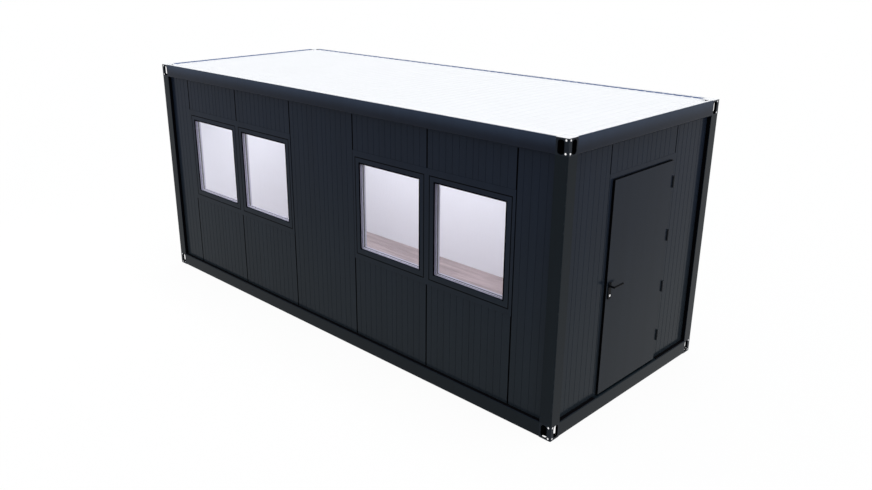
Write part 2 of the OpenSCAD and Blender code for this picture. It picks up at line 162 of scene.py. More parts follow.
class Graph:
    """A shader node tree that is built call by call."""

    def __init__(self, tree: NodeTree) -> None:
        """Keeps the tree that the calls add to."""
        self.tree = tree

    def add(self, kind: str, **settings: object) -> Node:
        """Adds a node.

        Args:
            kind: The node's type name.
            settings: Properties to set on it.

        Returns:
            The new node.
        """
        node = self.tree.nodes.new(kind)
        for name, value in settings.items():
            setattr(node, name, value)
        return node

    def feed(self, socket: NodeSocket, value: object) -> None:
        """Links a socket into an input, or sets the input's own value.

        Args:
            socket: The input.
            value: A socket, number, colour or vector.
        """
        if isinstance(value, NodeSocket):
            self.tree.links.new(value, socket)
        elif socket.type == "RGBA" and len(value) == 3:
            socket.default_value = (*value, 1.0)
        else:
            socket.default_value = value

    def place(self) -> NodeSocket:
        """Returns the object coordinates, which are metres in the cabin's frame."""
        return self.add("ShaderNodeTexCoord").outputs["Object"]

    def axes(self) -> tuple[NodeSocket, ...]:
        """Returns the x, y and z object coordinates."""
        split = self.add("ShaderNodeSeparateXYZ")
        self.feed(split.inputs[0], self.place())
        return tuple(split.outputs)

    def math(self, operation: str, *values: object) -> NodeSocket:
        """Combines numbers.

        Args:
            operation: The math node's operation.
            values: Numbers or sockets for its inputs.

        Returns:
            The result.
        """
        node = self.add("ShaderNodeMath", operation=operation)
        for socket, value in zip(node.inputs, values):
            self.feed(socket, value)
        return node.outputs[0]

    def minus(self, first: object, second: object) -> NodeSocket:
        """Returns the first number less the second."""
        return self.math("SUBTRACT", first, second)

    def times(self, first: object, second: object) -> NodeSocket:
        """Returns the product of two numbers."""
        return self.math("MULTIPLY", first, second)

    def over(self, value: object, limit: float) -> NodeSocket:
        """Returns 1 where a number is over a limit, and 0 elsewhere."""
        return self.math("GREATER_THAN", value, limit)

    def under(self, value: object, limit: float) -> NodeSocket:
        """Returns 1 where a number is under a limit, and 0 elsewhere."""
        return self.math("LESS_THAN", value, limit)

    def size(self, value: object) -> NodeSocket:
        """Returns a number without its sign."""
        return self.math("ABSOLUTE", value)

    def most(self, *values: object) -> NodeSocket:
        """Returns the largest of several numbers."""
        return reduce(lambda first, second: self.math("MAXIMUM", first, second), values)

    def least(self, *values: object) -> NodeSocket:
        """Returns the smallest of several numbers."""
        return reduce(lambda first, second: self.math("MINIMUM", first, second), values)

    def off_row(self, value: object, pitch: float, shift: float = 0.0) -> NodeSocket:
        """Measures how far a place lies from the nearest one of an even row.

        Args:
            value: The place along the row.
            pitch: Distance between the row's places.
            shift: How far the row is moved from the middle.

        Returns:
            The distance.
        """
        moved = self.math("ADD", value, shift) if shift else value
        return self.math("PINGPONG", moved, pitch / 2)

    def ramp(self, value: object, start: float, end: float, high: float = 1.0) -> NodeSocket:
        """Turns a value into a soft mask.

        Args:
            value: The value.
            start: Where the mask is 0.
            end: Where the mask is full.
            high: The full mask.

        Returns:
            The mask.
        """
        node = self.add("ShaderNodeMapRange", interpolation_type="SMOOTHSTEP")
        for label, number in (("From Min", start), ("From Max", end), ("To Max", high)):
            node.inputs[label].default_value = number
        self.feed(node.inputs["Value"], value)
        return node.outputs[0]

    def mix(self, factor: object, first: object, second: object) -> NodeSocket:
        """Blends two colours.

        Args:
            factor: Share of the second colour.
            first: Colour where the factor is 0.
            second: Colour where the factor is 1.

        Returns:
            The blended colour.
        """
        node = self.add("ShaderNodeMix", data_type="RGBA")
        colours = [socket for socket in node.inputs if socket.type == "RGBA"]
        for socket, value in zip((node.inputs[0], *colours), (factor, first, second)):
            self.feed(socket, value)
        return next(socket for socket in node.outputs if socket.type == "RGBA")

    def blend(self, factor: object, first: NodeSocket, second: NodeSocket) -> NodeSocket:
        """Blends two shaders.

        Args:
            factor: Share of the second shader.
            first: Shader where the factor is 0.
            second: Shader where the factor is 1.

        Returns:
            The blended shader.
        """
        node = self.add("ShaderNodeMixShader")
        for socket, value in zip(node.inputs, (factor, first, second)):
            self.feed(socket, value)
        return node.outputs[0]

    def scaled(self, colour: object, factor: object) -> NodeSocket:
        """Returns a colour made lighter or darker by a factor.

        Args:
            colour: The colour.
            factor: What it is multiplied by.

        Returns:
            The new colour.
        """
        node = self.add("ShaderNodeVectorMath", operation="SCALE")
        self.feed(node.inputs[0], colour)
        self.feed(node.inputs["Scale"], factor)
        return node.outputs[0]

    def stretched(self, x: float, y: float, z: float) -> NodeSocket:
        """Scales the object coordinates along each axis.

        Args:
            x: Scale along X.
            y: Scale along Y.
            z: Scale along Z.

        Returns:
            The scaled coordinates.
        """
        node = self.add("ShaderNodeMapping")
        self.feed(node.inputs["Vector"], self.place())
        node.inputs["Scale"].default_value = (x, y, z)
        return node.outputs[0]

    def noise(self, scale: float, detail: float, vector: object = None) -> NodeSocket:
        """Makes a cloudy pattern.

        Args:
            scale: Features per metre.
            detail: Octaves of finer features.
            vector: Coordinates, or None for the object's own.

        Returns:
            The pattern, about 0.5 on average.
        """
        node = self.add("ShaderNodeTexNoise")
        self.feed(node.inputs["Vector"], vector or self.place())
        node.inputs["Scale"].default_value = scale
        node.inputs["Detail"].default_value = detail
        return node.outputs[0]

    def swing(self, base: object, pattern: object, share: object) -> NodeSocket:
        """Moves a number up and down with a pattern.

        Args:
            base: The number where the pattern is at its middle.
            pattern: A pattern from 0 to 1.
            share: How far the pattern moves the number.

        Returns:
            The moved number.
        """
        return self.math("MULTIPLY_ADD", self.minus(pattern, 0.5), share, base)

    def bump(self, height: object, distance: float, strength: float = 0.4) -> NodeSocket:
        """Turns a height pattern into a normal.

        Args:
            height: Pattern from 0 to 1.
            distance: Height in metres that a pattern of 1 stands for.
            strength: Share of the effect.

        Returns:
            The normal.
        """
        node = self.add("ShaderNodeBump")
        node.inputs["Distance"].default_value = distance
        node.inputs["Strength"].default_value = strength
        self.feed(node.inputs["Height"], height)
        return node.outputs[0]

    def inside(self, half_length: object, half_width: object) -> tuple[NodeSocket, NodeSocket]:
        """Measures how far a point lies inside an upright box round the cabin's middle.

        Args:
            half_length: Half the box's length.
            half_width: Half the box's width.

        Returns:
            The distances from the box's ends and from its sides.
        """
        x, y, _ = self.axes()
        return self.minus(half_length, self.size(x)), self.minus(half_width, self.size(y))

    def seen_by_eye(self) -> NodeSocket:
        """Returns 1 for rays from the camera, also by way of glass or a reflection."""
        rays = self.add("ShaderNodeLightPath").outputs
        return self.most(rays["Is Camera Ray"], rays["Is Glossy Ray"], rays["Is Transmission Ray"])


class SharedEffect:
    """A node group that several finishes place with their own values."""

    name = ""
    inputs: ClassVar[dict[str, tuple[str, object]]] = {}
    outputs: ClassVar[dict[str, str]] = {}

    def tree(self) -> NodeTree:
        """Returns the group's tree, built on first use."""
        made = bpy.data.node_groups.get(self.name)
        if made:
            return made
        made = bpy.data.node_groups.new(self.name, "ShaderNodeTree")
        for label, (kind, default) in self.inputs.items():
            made.interface.new_socket(label, in_out="INPUT", socket_type=kind).default_value = default
        for label, kind in self.outputs.items():
            made.interface.new_socket(label, in_out="OUTPUT", socket_type=kind)
        graph = Graph(made)
        entry = graph.add("NodeGroupInput")
        leave = graph.add("NodeGroupOutput")
        for label, value in self.wire(graph, entry.outputs).items():
            graph.feed(leave.inputs[label], value)
        return made

    def wire(self, graph: Graph, entry: NodeOutputs) -> Sockets:
        """Wires the group's inside.

        Args:
            graph: The group's tree.
            entry: The group's inputs.

        Returns:
            A socket for each output.
        """
        raise NotImplementedError

    def use(self, graph: Graph, **values: object) -> NodeOutputs:
        """Places the group in a material.

        Args:
            graph: The material's tree.
            values: Numbers, colours or sockets for the inputs, with underscores for spaces.

        Returns:
            The group's outputs.
        """
        node = graph.add("ShaderNodeGroup", node_tree=self.tree())
        for label, value in values.items():
            graph.feed(node.inputs[label.replace("_", " ")], value)
        return node.outputs


COLOUR = "NodeSocketColor"
NUMBER = "NodeSocketFloat"
MID_GREY = (0.5, 0.5, 0.5, 1.0)


class PaintFilm(SharedEffect):
    """A sprayed coat: cloudy tone, faint rain streaks, uneven gloss and orange peel."""

    name = "paint_film"
    inputs = {"Tone": (COLOUR, MID_GREY), "Spread": (NUMBER, 0.1), "Gloss": (NUMBER, 0.45)}
    outputs = {"Colour": COLOUR, "Roughness": NUMBER, "Height": NUMBER}
    streak_share = 0.45
    gloss_swing = 0.1

    def wire(self, graph: Graph, entry: NodeOutputs) -> Sockets:
        """Wires clouds, streaks and peel over the object's own coordinates.

        Args:
            graph: The group's tree.
            entry: The group's inputs.

        Returns:
            A socket for each output.
        """
        clouds = graph.noise(scale=0.8, detail=4.0)
        streaks = graph.noise(scale=1.0, detail=3.0, vector=graph.stretched(9.0, 9.0, 0.45))
        cloudy = graph.times(clouds, 1 - self.streak_share)
        pattern = graph.math("MULTIPLY_ADD", streaks, self.streak_share, cloudy)
        return {
            "Colour": graph.scaled(entry["Tone"], graph.swing(1.0, pattern, entry["Spread"])),
            "Roughness": graph.swing(entry["Gloss"], streaks, self.gloss_swing),
            "Height": graph.noise(scale=260.0, detail=2.0),
        }


class MetalGrain(SharedEffect):
    """Fine mottling of bare metal in tone and gloss."""

    name = "metal_grain"
    inputs = {"Tone": (COLOUR, MID_GREY), "Spread": (NUMBER, 0.15), "Gloss": (NUMBER, 0.3)}
    outputs = {"Colour": COLOUR, "Roughness": NUMBER, "Height": NUMBER}
    gloss_swing = 0.12

    def wire(self, graph: Graph, entry: NodeOutputs) -> Sockets:
        """Wires a coarse and a fine mottle.

        Args:
            graph: The group's tree.
            entry: The group's inputs.

        Returns:
            A socket for each output.
        """
        coarse = graph.noise(scale=90.0, detail=3.0)
        fine = graph.noise(scale=700.0, detail=2.0)
        return {
            "Colour": graph.scaled(entry["Tone"], graph.swing(1.0, coarse, entry["Spread"])),
            "Roughness": graph.swing(entry["Gloss"], fine, self.gloss_swing),
            "Height": fine,
        }


class ShellDepth(SharedEffect):
    """How far a point lies inside the nearest wall of an upright box."""

    name = "shell_depth"
    inputs = {"Half length": (NUMBER, 3.0), "Half width": (NUMBER, 1.2)}
    outputs = {"Depth": NUMBER}

    def wire(self, graph: Graph, entry: NodeOutputs) -> Sockets:
        """Wires the smaller of the distances to the box's ends and sides.

        Args:
            graph: The group's tree.
            entry: The group's inputs.

        Returns:
            A socket for each output.
        """
        return {"Depth": graph.least(*graph.inside(entry["Half length"], entry["Half width"]))}


class ShadeAndDirt(SharedEffect):
    """Darkening without gloss that stands for painted shade in joints, corners and recesses, and for dirt on
    plain plates.
    """

    name = "shade_and_dirt"
    inputs = {"Colour": (COLOUR, MID_GREY), "Roughness": (NUMBER, 0.5), "Amount": (NUMBER, 0.0)}
    outputs = {"Colour": COLOUR, "Roughness": NUMBER}
    cover = 0.97

    def wire(self, graph: Graph, entry: NodeOutputs) -> Sockets:
        """Wires the darkened colour and the gloss that the darkening takes away.

        Args:
            graph: The group's tree.
            entry: The group's inputs.

        Returns:
            A socket for each output.
        """
        left = graph.math("MULTIPLY_ADD", entry["Amount"], -self.cover, 1.0)
        dull = graph.times(entry["Amount"], entry["Amount"])
        return {
            "Colour": graph.scaled(entry["Colour"], left),
            "Roughness": graph.most(entry["Roughness"], dull),
        }


class CornerWear(SharedEffect):
    """Rubbed paint along the upright outer corners of the frame."""

    name = "corner_wear"
    outputs = {"Mask": NUMBER}
    reach = (6 * MM, 1.5 * MM)
    strength = 0.3
    breaks = (0.5, 0.68)

    def wire(self, graph: Graph, entry: NodeOutputs) -> Sockets:
        """Wires a broken line along the corners.

        Args:
            graph: The group's tree.
            entry: The group's inputs; not used here.

        Returns:
            A socket for each output.
        """
        line = graph.ramp(graph.most(*graph.inside(CORNER.x, CORNER.y)), *self.reach, self.strength)
        rubbed = graph.ramp(graph.noise(scale=24.0, detail=5.0), *self.breaks)
        return {"Mask": graph.times(line, rubbed)}


class WindowSeam(SharedEffect):
    """Painted shade in a line round the window frames, which sit one panel apart along the wall."""

    name = "window_seam"
    outputs = {"Mask": NUMBER}
    band = (6 * MM, 3.5 * MM)

    def wire(self, graph: Graph, entry: NodeOutputs) -> Sockets:
        """Wires a narrow band on both sides of the frames' outlines.

        Args:
            graph: The group's tree.
            entry: The group's inputs; not used here.

        Returns:
            A socket for each output.
        """
        x, _, z = graph.axes()
        half = (WINDOW_HIGH - WINDOW_LOW) / 2
        middle_z = (WINDOW_HIGH.z + WINDOW_LOW.z) / 2
        to_seam = WINDOW_GAP / 2 - WINDOW_TRIM
        beside = graph.minus(graph.off_row(x, PANEL_PITCH), half.x + to_seam)
        above = graph.minus(graph.size(graph.minus(z, middle_z)), half.z + to_seam)
        return {"Mask": graph.ramp(graph.size(graph.most(beside, above)), *self.band)}


PAINT_FILM = PaintFilm()
METAL_GRAIN = MetalGrain()
SHELL_DEPTH = ShellDepth()
SHADE_AND_DIRT = ShadeAndDirt()
CORNER_WEAR = CornerWear()
WINDOW_SEAM = WindowSeam()

ANTHRACITE = srgb(35, 43, 57)
# Painted light: the walls' colour at the foot, lighter than at the top, and the heights over which it
# changes
ANTHRACITE_FOOT_LIGHT = srgb(42, 49, 56)
HEIGHT_LIGHT_Z = (2.3, 0.3)
FRAME_GREY = srgb(22, 31, 38)
LINING_WHITE = srgb(232, 233, 240)
ROOF_WHITE = srgb(244, 245, 248)
PAINT_GLOSS = 0.17
PANEL_SPECULAR = 0.047


def painted_height_light(graph: Graph, tone: Colour, foot_light_tone: Colour) -> NodeSocket:
    """Returns a wall colour with painted light that changes from top to foot: bluer at the top, lighter at
    the foot.

    Args:
        graph: The material's tree.
        tone: Colour at the top.
        foot_light_tone: Colour at the foot.

    Returns:
        The colour.
    """
    return graph.mix(graph.ramp(graph.axes()[2], *HEIGHT_LIGHT_Z), tone, foot_light_tone)


def lining(graph: Graph) -> NodeOutputs:
    """Returns the white paint film of the room."""
    return PAINT_FILM.use(graph, Tone=LINING_WHITE, Spread=0.06, Gloss=0.5)


@dataclass(frozen=True)
class Finish:
    """A procedural finish that becomes one material."""

    name: str

    def material(self) -> Material:
        """Returns the finish's material, made on first use."""
        made = bpy.data.materials.get(self.name)
        if made:
            return made
        made = bpy.data.materials.new(self.name)
        made.use_nodes = True
        graph = Graph(made.node_tree)
        graph.tree.nodes.clear()
        shader = graph.add("ShaderNodeBsdfPrincipled")
        output = graph.add("ShaderNodeOutputMaterial")
        graph.feed(output.inputs["Surface"], self.surface(graph, shader))
        return made

    def surface(self, graph: Graph, shader: Node) -> NodeSocket:
        """Feeds the shader.

        Args:
            graph: The material's tree.
            shader: Its Principled shader.

        Returns:
            The shader socket for the surface.
        """
        for label, value in self.shader_inputs(graph).items():
            graph.feed(shader.inputs[label], value)
        return shader.outputs[0]

    def shader_inputs(self, graph: Graph) -> Inputs:
        """Wires what goes into the shader.

        Args:
            graph: The material's tree.

        Returns:
            A socket, number or colour for each input.
        """
        raise NotImplementedError


@dataclass(frozen=True)
class FramePaint(Finish):
    """Satin paint on folded steel, rubbed along the outer corners."""

    tone: Colour = FRAME_GREY
    bare: Colour = srgb(86, 90, 96)
    specular: float = 0.066

    def shader_inputs(self, graph: Graph) -> Inputs:
        """Wires the paint film, its wear and what lies over it.

        Args:
            graph: The material's tree.

        Returns:
            A socket, number or colour for each input.
        """
        film = PAINT_FILM.use(graph, Tone=self.coat(graph), Spread=0.5, Gloss=PAINT_GLOSS)
        worn = graph.mix(CORNER_WEAR.use(graph)["Mask"], film["Colour"], self.bare)
        colour, roughness = self.overlaid(graph, worn, film["Roughness"])
        return {
            "Base Color": colour,
            "Roughness": roughness,
            "Normal": graph.bump(self.skin(graph, film["Height"]), 0.05 * MM),
            "Specular IOR Level": self.specular,
        }

    def coat(self, graph: Graph) -> object:
        """Returns the coat's colour."""
        return self.tone

    def skin(self, graph: Graph, peel: NodeSocket) -> NodeSocket:
        """Returns the height of the coat's skin."""
        return peel

    def overlaid(self, graph: Graph, colour: NodeSocket,
                  roughness: NodeSocket) -> tuple[NodeSocket, NodeSocket]:
        """Returns the colour and roughness with nothing over a plain coat."""
        return colour, roughness


@dataclass(frozen=True)
class RimPaint(FramePaint):
    """Frame paint on the roof rails, with painted light that makes them lighter and bluer towards the roof,
    and white on top.
    """

    # Painted light and shade: a lit tone towards the roof and a shaded tone low on the rail
    lit_top_tone: Colour = srgb(58, 71, 92)
    shaded: Colour = srgb(30, 37, 51)
    lip_reflection_tone: Colour = srgb(82, 108, 158)
    lit_from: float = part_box("front_roof_rail")[0].z + 20 * MM
    lit_to: float = CORNER.z + 15 * MM
    lip_z: float = ROOF_LOW.z + 1 * MM
    rim: float = CORNER.x - ROOF_HIGH.x - 1 * MM
    outer: float = 1 * MM
    edge: float = 12 * MM

    def coat(self, graph: Graph) -> object:
        """Returns the coat's colour with painted light and shade: darker low on the rail, lighter and bluer
        towards the roof.
        """
        height = graph.ramp(graph.axes()[2], self.lit_from, self.lit_to)
        return graph.mix(height, self.shaded, self.lit_top_tone)

    def overlaid(self, graph: Graph, colour: NodeSocket,
                  roughness: NodeSocket) -> tuple[NodeSocket, NodeSocket]:
        """Lays a painted reflection of the sky on the lip towards the roof, a painted shade line on the
        outer edge and the white top over the coat.

        Args:
            graph: The material's tree.
            colour: The coat's colour.
            roughness: The coat's roughness.

        Returns:
            The final colour and roughness.
        """
        z = graph.axes()[2]
        depth = SHELL_DEPTH.use(graph, Half_length=CORNER.x, Half_width=CORNER.y)["Depth"]
        # Painted reflection: the lip's inner face above the roof is painted light blue, like reflected sky
        lip = graph.times(graph.over(depth, self.rim), graph.over(z, self.lip_z))
        # Painted shade: a thin dark band on the outer face just under the top
        edge = graph.times(graph.under(depth, self.outer), graph.over(z, TOP_FACE_Z - self.edge / 2))
        top = graph.times(graph.over(depth, self.edge), graph.over(z, TOP_FACE_Z))
        for mask, tone in ((lip, self.lip_reflection_tone), (edge, self.shaded), (top, ROOF_WHITE)):
            colour = graph.mix(mask, colour, tone)
        return colour, roughness


@dataclass(frozen=True)
class CastingPaint(FramePaint):
    """Frame paint over a sand-cast skin, with painted shade that makes it black inside, and white at roof
    level.
    """

    tone: Colour = srgb(34, 41, 50)
    wall: tuple[float, float] = (1.5 * MM, 3 * MM)
    inner: float = POST_WIDTH - 0.3 * MM
    grit: float = 5.0

    def skin(self, graph: Graph, peel: NodeSocket) -> NodeSocket:
        """Returns the height of the cast skin."""
        return graph.math("MULTIPLY_ADD", graph.noise(scale=140.0, detail=4.0), self.grit, peel)

    def overlaid(self, graph: Graph, colour: NodeSocket,
                  roughness: NodeSocket) -> tuple[NodeSocket, NodeSocket]:
        """Lays painted shade inside the casting and white on its top and its roof-level faces.

        Args:
            graph: The material's tree.
            colour: The coat's colour.
            roughness: The coat's roughness.

        Returns:
            The final colour and roughness.
        """
        z = graph.axes()[2]
        from_end, from_side = graph.inside(CORNER.x, CORNER.y)
        from_skin = graph.least(from_end, from_side, graph.minus(CORNER.z, z), z)
        # Painted shade: the casting goes black and dull inside, a wall's thickness behind its skin
        hollow_shade = graph.ramp(from_skin, *self.wall)
        darkened = SHADE_AND_DIRT.use(graph, Colour=colour, Roughness=roughness, Amount=hollow_shade)
        back = graph.over(graph.most(from_end, from_side), self.inner)
        roof_level = graph.times(back, graph.over(z, ROOF_LOW.z))
        white = graph.most(roof_level, graph.over(z, TOP_FACE_Z))
        return graph.mix(white, darkened["Colour"], ROOF_WHITE), darkened["Roughness"]


@dataclass(frozen=True)
class WallPaint(Finish):
    """Anthracite coat outside, white lining towards the room, and darkening: painted shade in recesses and
    joints, dirt in broad patches.
    """

    half_length: float = PANEL_X
    half_width: float = PANEL_Y
    lining_from: float = 45 * MM
    tone: Colour = ANTHRACITE
    foot_light_tone: Colour = ANTHRACITE_FOOT_LIGHT

    def shader_inputs(self, graph: Graph) -> Inputs:
        """Wires the coat with its painted light from top to foot, the painted shade and dirt, and the
        lining.

        Args:
            graph: The material's tree.

        Returns:
            A socket, number or colour for each input.
        """
        depth = SHELL_DEPTH.use(graph, Half_length=self.half_length, Half_width=self.half_width)["Depth"]
        # Painted light that changes from top to foot, then dust in the grooves
        tone = self.dusted(graph, painted_height_light(graph, self.tone, self.foot_light_tone), depth)
        film = PAINT_FILM.use(graph, Tone=tone, Spread=0.4, Gloss=PAINT_GLOSS)
        inner = graph.over(depth, self.lining_from)
        # Painted shade and dirt, outside the lining only
        amount = graph.times(graph.minus(1.0, inner), self.shade_and_dirt(graph, depth))
        darkened = SHADE_AND_DIRT.use(graph, Colour=film["Colour"], Roughness=film["Roughness"], Amount=amount)
        return {
            "Base Color": graph.mix(inner, darkened["Colour"], lining(graph)["Colour"]),
            "Roughness": darkened["Roughness"],
            "Normal": graph.bump(film["Height"], 0.04 * MM),
            "Specular IOR Level": PANEL_SPECULAR,
        }

    def dusted(self, graph: Graph, tone: NodeSocket, depth: NodeSocket) -> NodeSocket:
        """Returns the coat's colour, with no dust on a plain coat."""
        return tone

    def shade_and_dirt(self, graph: Graph, depth: NodeSocket) -> NodeSocket:
        """Wires where the soot lies.

        Args:
            graph: The material's tree.
            depth: Depth behind the coat's outer face.

        Returns:
            The amount of darkening.
        """
        raise NotImplementedError


@dataclass(frozen=True)
class PanelPaint(WallPaint):
    """Wall panels, with painted shade in their grooves and beside their joints, or dust in the grooves."""

    groove_shade: float = 0.25
    groove_dust: float = 0.0
    dust: Colour = srgb(120, 124, 130)
    groove_lip: float = 0.2 * MM
    groove_floor: float = 2 * MM
    dust_line: float = 1.2 * MM
    joint_step: tuple[float, float] = (3 * MM, 6 * MM)
    joint_shade_reach: float = 7.5 * MM
    joint_fade: float = 2 * MM
    joint_shade: float = 0.9

    def dusted(self, graph: Graph, tone: NodeSocket, depth: NodeSocket) -> NodeSocket:
        """Returns the coat's colour with dust in the grooves."""
        grooves = graph.ramp(depth, self.groove_lip, self.dust_line, self.groove_dust)
        return graph.mix(grooves, tone, self.dust)

    def shade_and_dirt(self, graph: Graph, depth: NodeSocket) -> NodeSocket:
        """Wires the painted shade in grooves and joints.

        Args:
            graph: The material's tree.
            depth: Depth behind the coat's outer face.

        Returns:
            The amount of painted shade.
        """
        # Painted shade in the bottom of the grooves
        grooves = graph.ramp(depth, self.groove_lip, self.groove_floor, self.groove_shade)
        # Painted shade on the panel beside each joint, and deeper in the joint itself
        off_joint = graph.off_row(graph.axes()[0], PANEL_PITCH, PANEL_PITCH / 2)
        beside = graph.ramp(off_joint, self.joint_shade_reach + self.joint_fade, self.joint_shade_reach, self.joint_shade)
        return graph.most(grooves, beside, graph.ramp(depth, *self.joint_step))


@dataclass(frozen=True)
class CasingPaint(WallPaint):
    """Door casing, with painted shade beside the leaf."""

    half_length: float = CASING.x
    half_width: float = FAR
    reach: tuple[float, float] = (9 * MM, 2 * MM)
    most_shade: float = 0.9

    def shade_and_dirt(self, graph: Graph, depth: NodeSocket) -> NodeSocket:
        """Wires the painted shade that fades away from the leaf's edge.

        Args:
            graph: The material's tree.
            depth: Depth behind the coat's outer face; not used here.

        Returns:
            The amount of painted shade.
        """
        _, y, z = graph.axes()
        # Painted shade beside the leaf's side edges and above its top
        from_leaf = graph.most(graph.minus(graph.size(y), LEAF.y), graph.minus(z, LEAF.z))
        return graph.ramp(from_leaf, *self.reach, self.most_shade)


@dataclass(frozen=True)
class LeafPaint(WallPaint):
    """Door leaf, with painted shade on the flanks and edge of its plate."""

    half_length: float = LEAF.x
    half_width: float = FAR
    lining_from: float = 50 * MM
    flank: float = 0.5 * MM
    plate_edge: tuple[float, float] = (1 * MM, 3 * MM)

    def shade_and_dirt(self, graph: Graph, depth: NodeSocket) -> NodeSocket:
        """Wires the painted shade on the flanks and the plate's edge.

        Args:
            graph: The material's tree.
            depth: Depth behind the coat's outer face.

        Returns:
            The amount of painted shade.
        """
        _, y, z = graph.axes()
        # Painted shade on the plate's side and top flanks and along its edge
        side = graph.over(graph.size(y), LEAF.y - self.flank)
        top = graph.over(z, LEAF.z - self.flank)
        return graph.most(side, top, graph.ramp(depth, *self.plate_edge))


@dataclass(frozen=True)
class PlainPaint(WallPaint):
    """Flat plates on the panels, with broad patches of dirt and a line of painted shade round the windows.
    """

    half_length: float = FAR
    half_width: float = FAR
    lining_from: float = FAR
    patches: tuple[float, float, float] = (0.5, 0.8, 0.15)

    def shade_and_dirt(self, graph: Graph, depth: NodeSocket) -> NodeSocket:
        """Wires dirt in broad patches and painted shade beside the window frames.

        Args:
            graph: The material's tree.
            depth: Depth behind the coat's outer face; not used here.

        Returns:
            The amount of dirt and painted shade.
        """
        broad = graph.ramp(graph.noise(scale=3.0, detail=4.0), *self.patches)
        # Dirt in broad patches, and painted shade in a line round each window frame
        return graph.most(broad, WINDOW_SEAM.use(graph)["Mask"])


@dataclass(frozen=True)
class WindowProfile(Finish):
    """Foiled window profile: dark grained foil outside, with painted light from top to foot and a painted
    shade line at its outline, and lilac-grey behind the bead.
    """

    inner_tone: Colour = srgb(184, 182, 203)
    inner_y: float = WINDOW_LOW.y + BEAD_DEPTH + 0.5 * MM

    def shader_inputs(self, graph: Graph) -> Inputs:
        """Wires the foil's grain, its painted light and shade, and the change of colour behind the bead.

        Args:
            graph: The material's tree.

        Returns:
            A socket, number or colour for each input.
        """
        # Painted light that changes from top to foot, as on the walls
        tone = painted_height_light(graph, ANTHRACITE, ANTHRACITE_FOOT_LIGHT)
        foil = PAINT_FILM.use(graph, Tone=tone, Spread=0.4, Gloss=PAINT_GLOSS)
        behind = PAINT_FILM.use(graph, Tone=self.inner_tone, Spread=0.1, Gloss=0.4)
        inner = graph.over(graph.axes()[1], self.inner_y)
        # Painted shade in a line round the frame's outline, on the foil only
        seam = graph.times(WINDOW_SEAM.use(graph)["Mask"], graph.minus(1.0, inner))
        darkened = SHADE_AND_DIRT.use(graph, Colour=foil["Colour"], Roughness=foil["Roughness"], Amount=seam)
        grain = graph.noise(scale=60.0, detail=4.0, vector=graph.stretched(6.0, 6.0, 1.0))
        return {
            "Base Color": graph.mix(inner, darkened["Colour"], behind["Colour"]),
            "Roughness": darkened["Roughness"],
            "Normal": graph.bump(grain, 0.03 * MM),
            "Specular IOR Level": PANEL_SPECULAR,
        }


@dataclass(frozen=True)
class Rubber(Finish):
    """Sealing rubber with a dull, slightly chalky skin."""

    tone: Colour = (0.003, 0.003, 0.004)
    specular: float = 0.02
    dull: float = 0.85
    pores: float = 0.05 * MM

    def shader_inputs(self, graph: Graph) -> Inputs:
        """Wires chalky patches and a fine skin.

        Args:
            graph: The material's tree.

        Returns:
            A socket, number or colour for each input.
        """
        chalk = graph.noise(scale=35.0, detail=4.0)
        chalky = graph.scaled(self.tone, graph.swing(1.0, chalk, 0.8))
        colour, roughness = self.sprayed(graph, chalky)
        return {
            "Base Color": colour,
            "Roughness": graph.swing(roughness, chalk, 0.2),
            "Normal": graph.bump(graph.noise(scale=900.0, detail=2.0), self.pores),
            "Specular IOR Level": self.specular,
        }

    def sprayed(self, graph: Graph, colour: NodeSocket) -> tuple[NodeSocket, object]:
        """Returns the colour and roughness, with no overspray on plain rubber."""
        return colour, self.dull


@dataclass(frozen=True)
class EdgeRubber(Rubber):
    """Rubber between frame and panels, with overspray of the walls' paint on its outer edge."""

    dull: float = 0.8
    pores: float = 0.02 * MM
    spray_gloss: float = 0.2
    reach: float = 4 * MM

    def sprayed(self, graph: Graph, colour: NodeSocket) -> tuple[NodeSocket, object]:
        """Lays the paint on the outer edge.

        Args:
            graph: The material's tree.
            colour: The rubber's colour.

        Returns:
            The colour and roughness.
        """
        depth = SHELL_DEPTH.use(graph, Half_length=CORNER.x, Half_width=CORNER.y)["Depth"]
        edge = graph.under(depth, self.reach)
        roughness = graph.math("MULTIPLY_ADD", edge, self.spray_gloss - self.dull, self.dull)
        return graph.mix(edge, colour, ANTHRACITE), roughness


@dataclass(frozen=True)
class BlackCoat(Finish):
    """Black powder coat on the door's fittings."""

    tone: Colour = (0.004, 0.0045, 0.006)
    specular: float = 0.03

    def shader_inputs(self, graph: Graph) -> Inputs:
        """Wires the coat's pebbled skin and uneven gloss.

        Args:
            graph: The material's tree.

        Returns:
            A socket, number or colour for each input.
        """
        film = PAINT_FILM.use(graph, Tone=self.tone, Spread=0.5, Gloss=0.3)
        return {
            "Base Color": film["Colour"],
            "Roughness": film["Roughness"],
            "Normal": graph.bump(graph.noise(scale=1100.0, detail=2.0), 0.04 * MM),
            "Specular IOR Level": self.specular,
        }


@dataclass(frozen=True)
class Galvanised(Finish):
    """Hot-dip zinc with its spangle."""

    tone: Colour = (0.52, 0.54, 0.56)
    crystals: float = 70.0

    def shader_inputs(self, graph: Graph) -> Inputs:
        """Wires crystal cells that differ in tone and gloss.

        Args:
            graph: The material's tree.

        Returns:
            A socket, number or colour for each input.
        """
        cells = graph.add("ShaderNodeTexVoronoi")
        graph.feed(cells.inputs["Vector"], graph.place())
        cells.inputs["Scale"].default_value = self.crystals
        crystal = graph.add("ShaderNodeSeparateColor")
        graph.feed(crystal.inputs[0], cells.outputs["Color"])
        grain = METAL_GRAIN.use(graph, Tone=self.tone, Spread=0.3, Gloss=0.42)
        factor = graph.swing(1.0, crystal.outputs[0], 0.35)
        return {
            "Base Color": graph.scaled(grain["Colour"], factor),
            "Roughness": graph.swing(grain["Roughness"], crystal.outputs[1], 0.2),
            "Metallic": 0.85,
        }


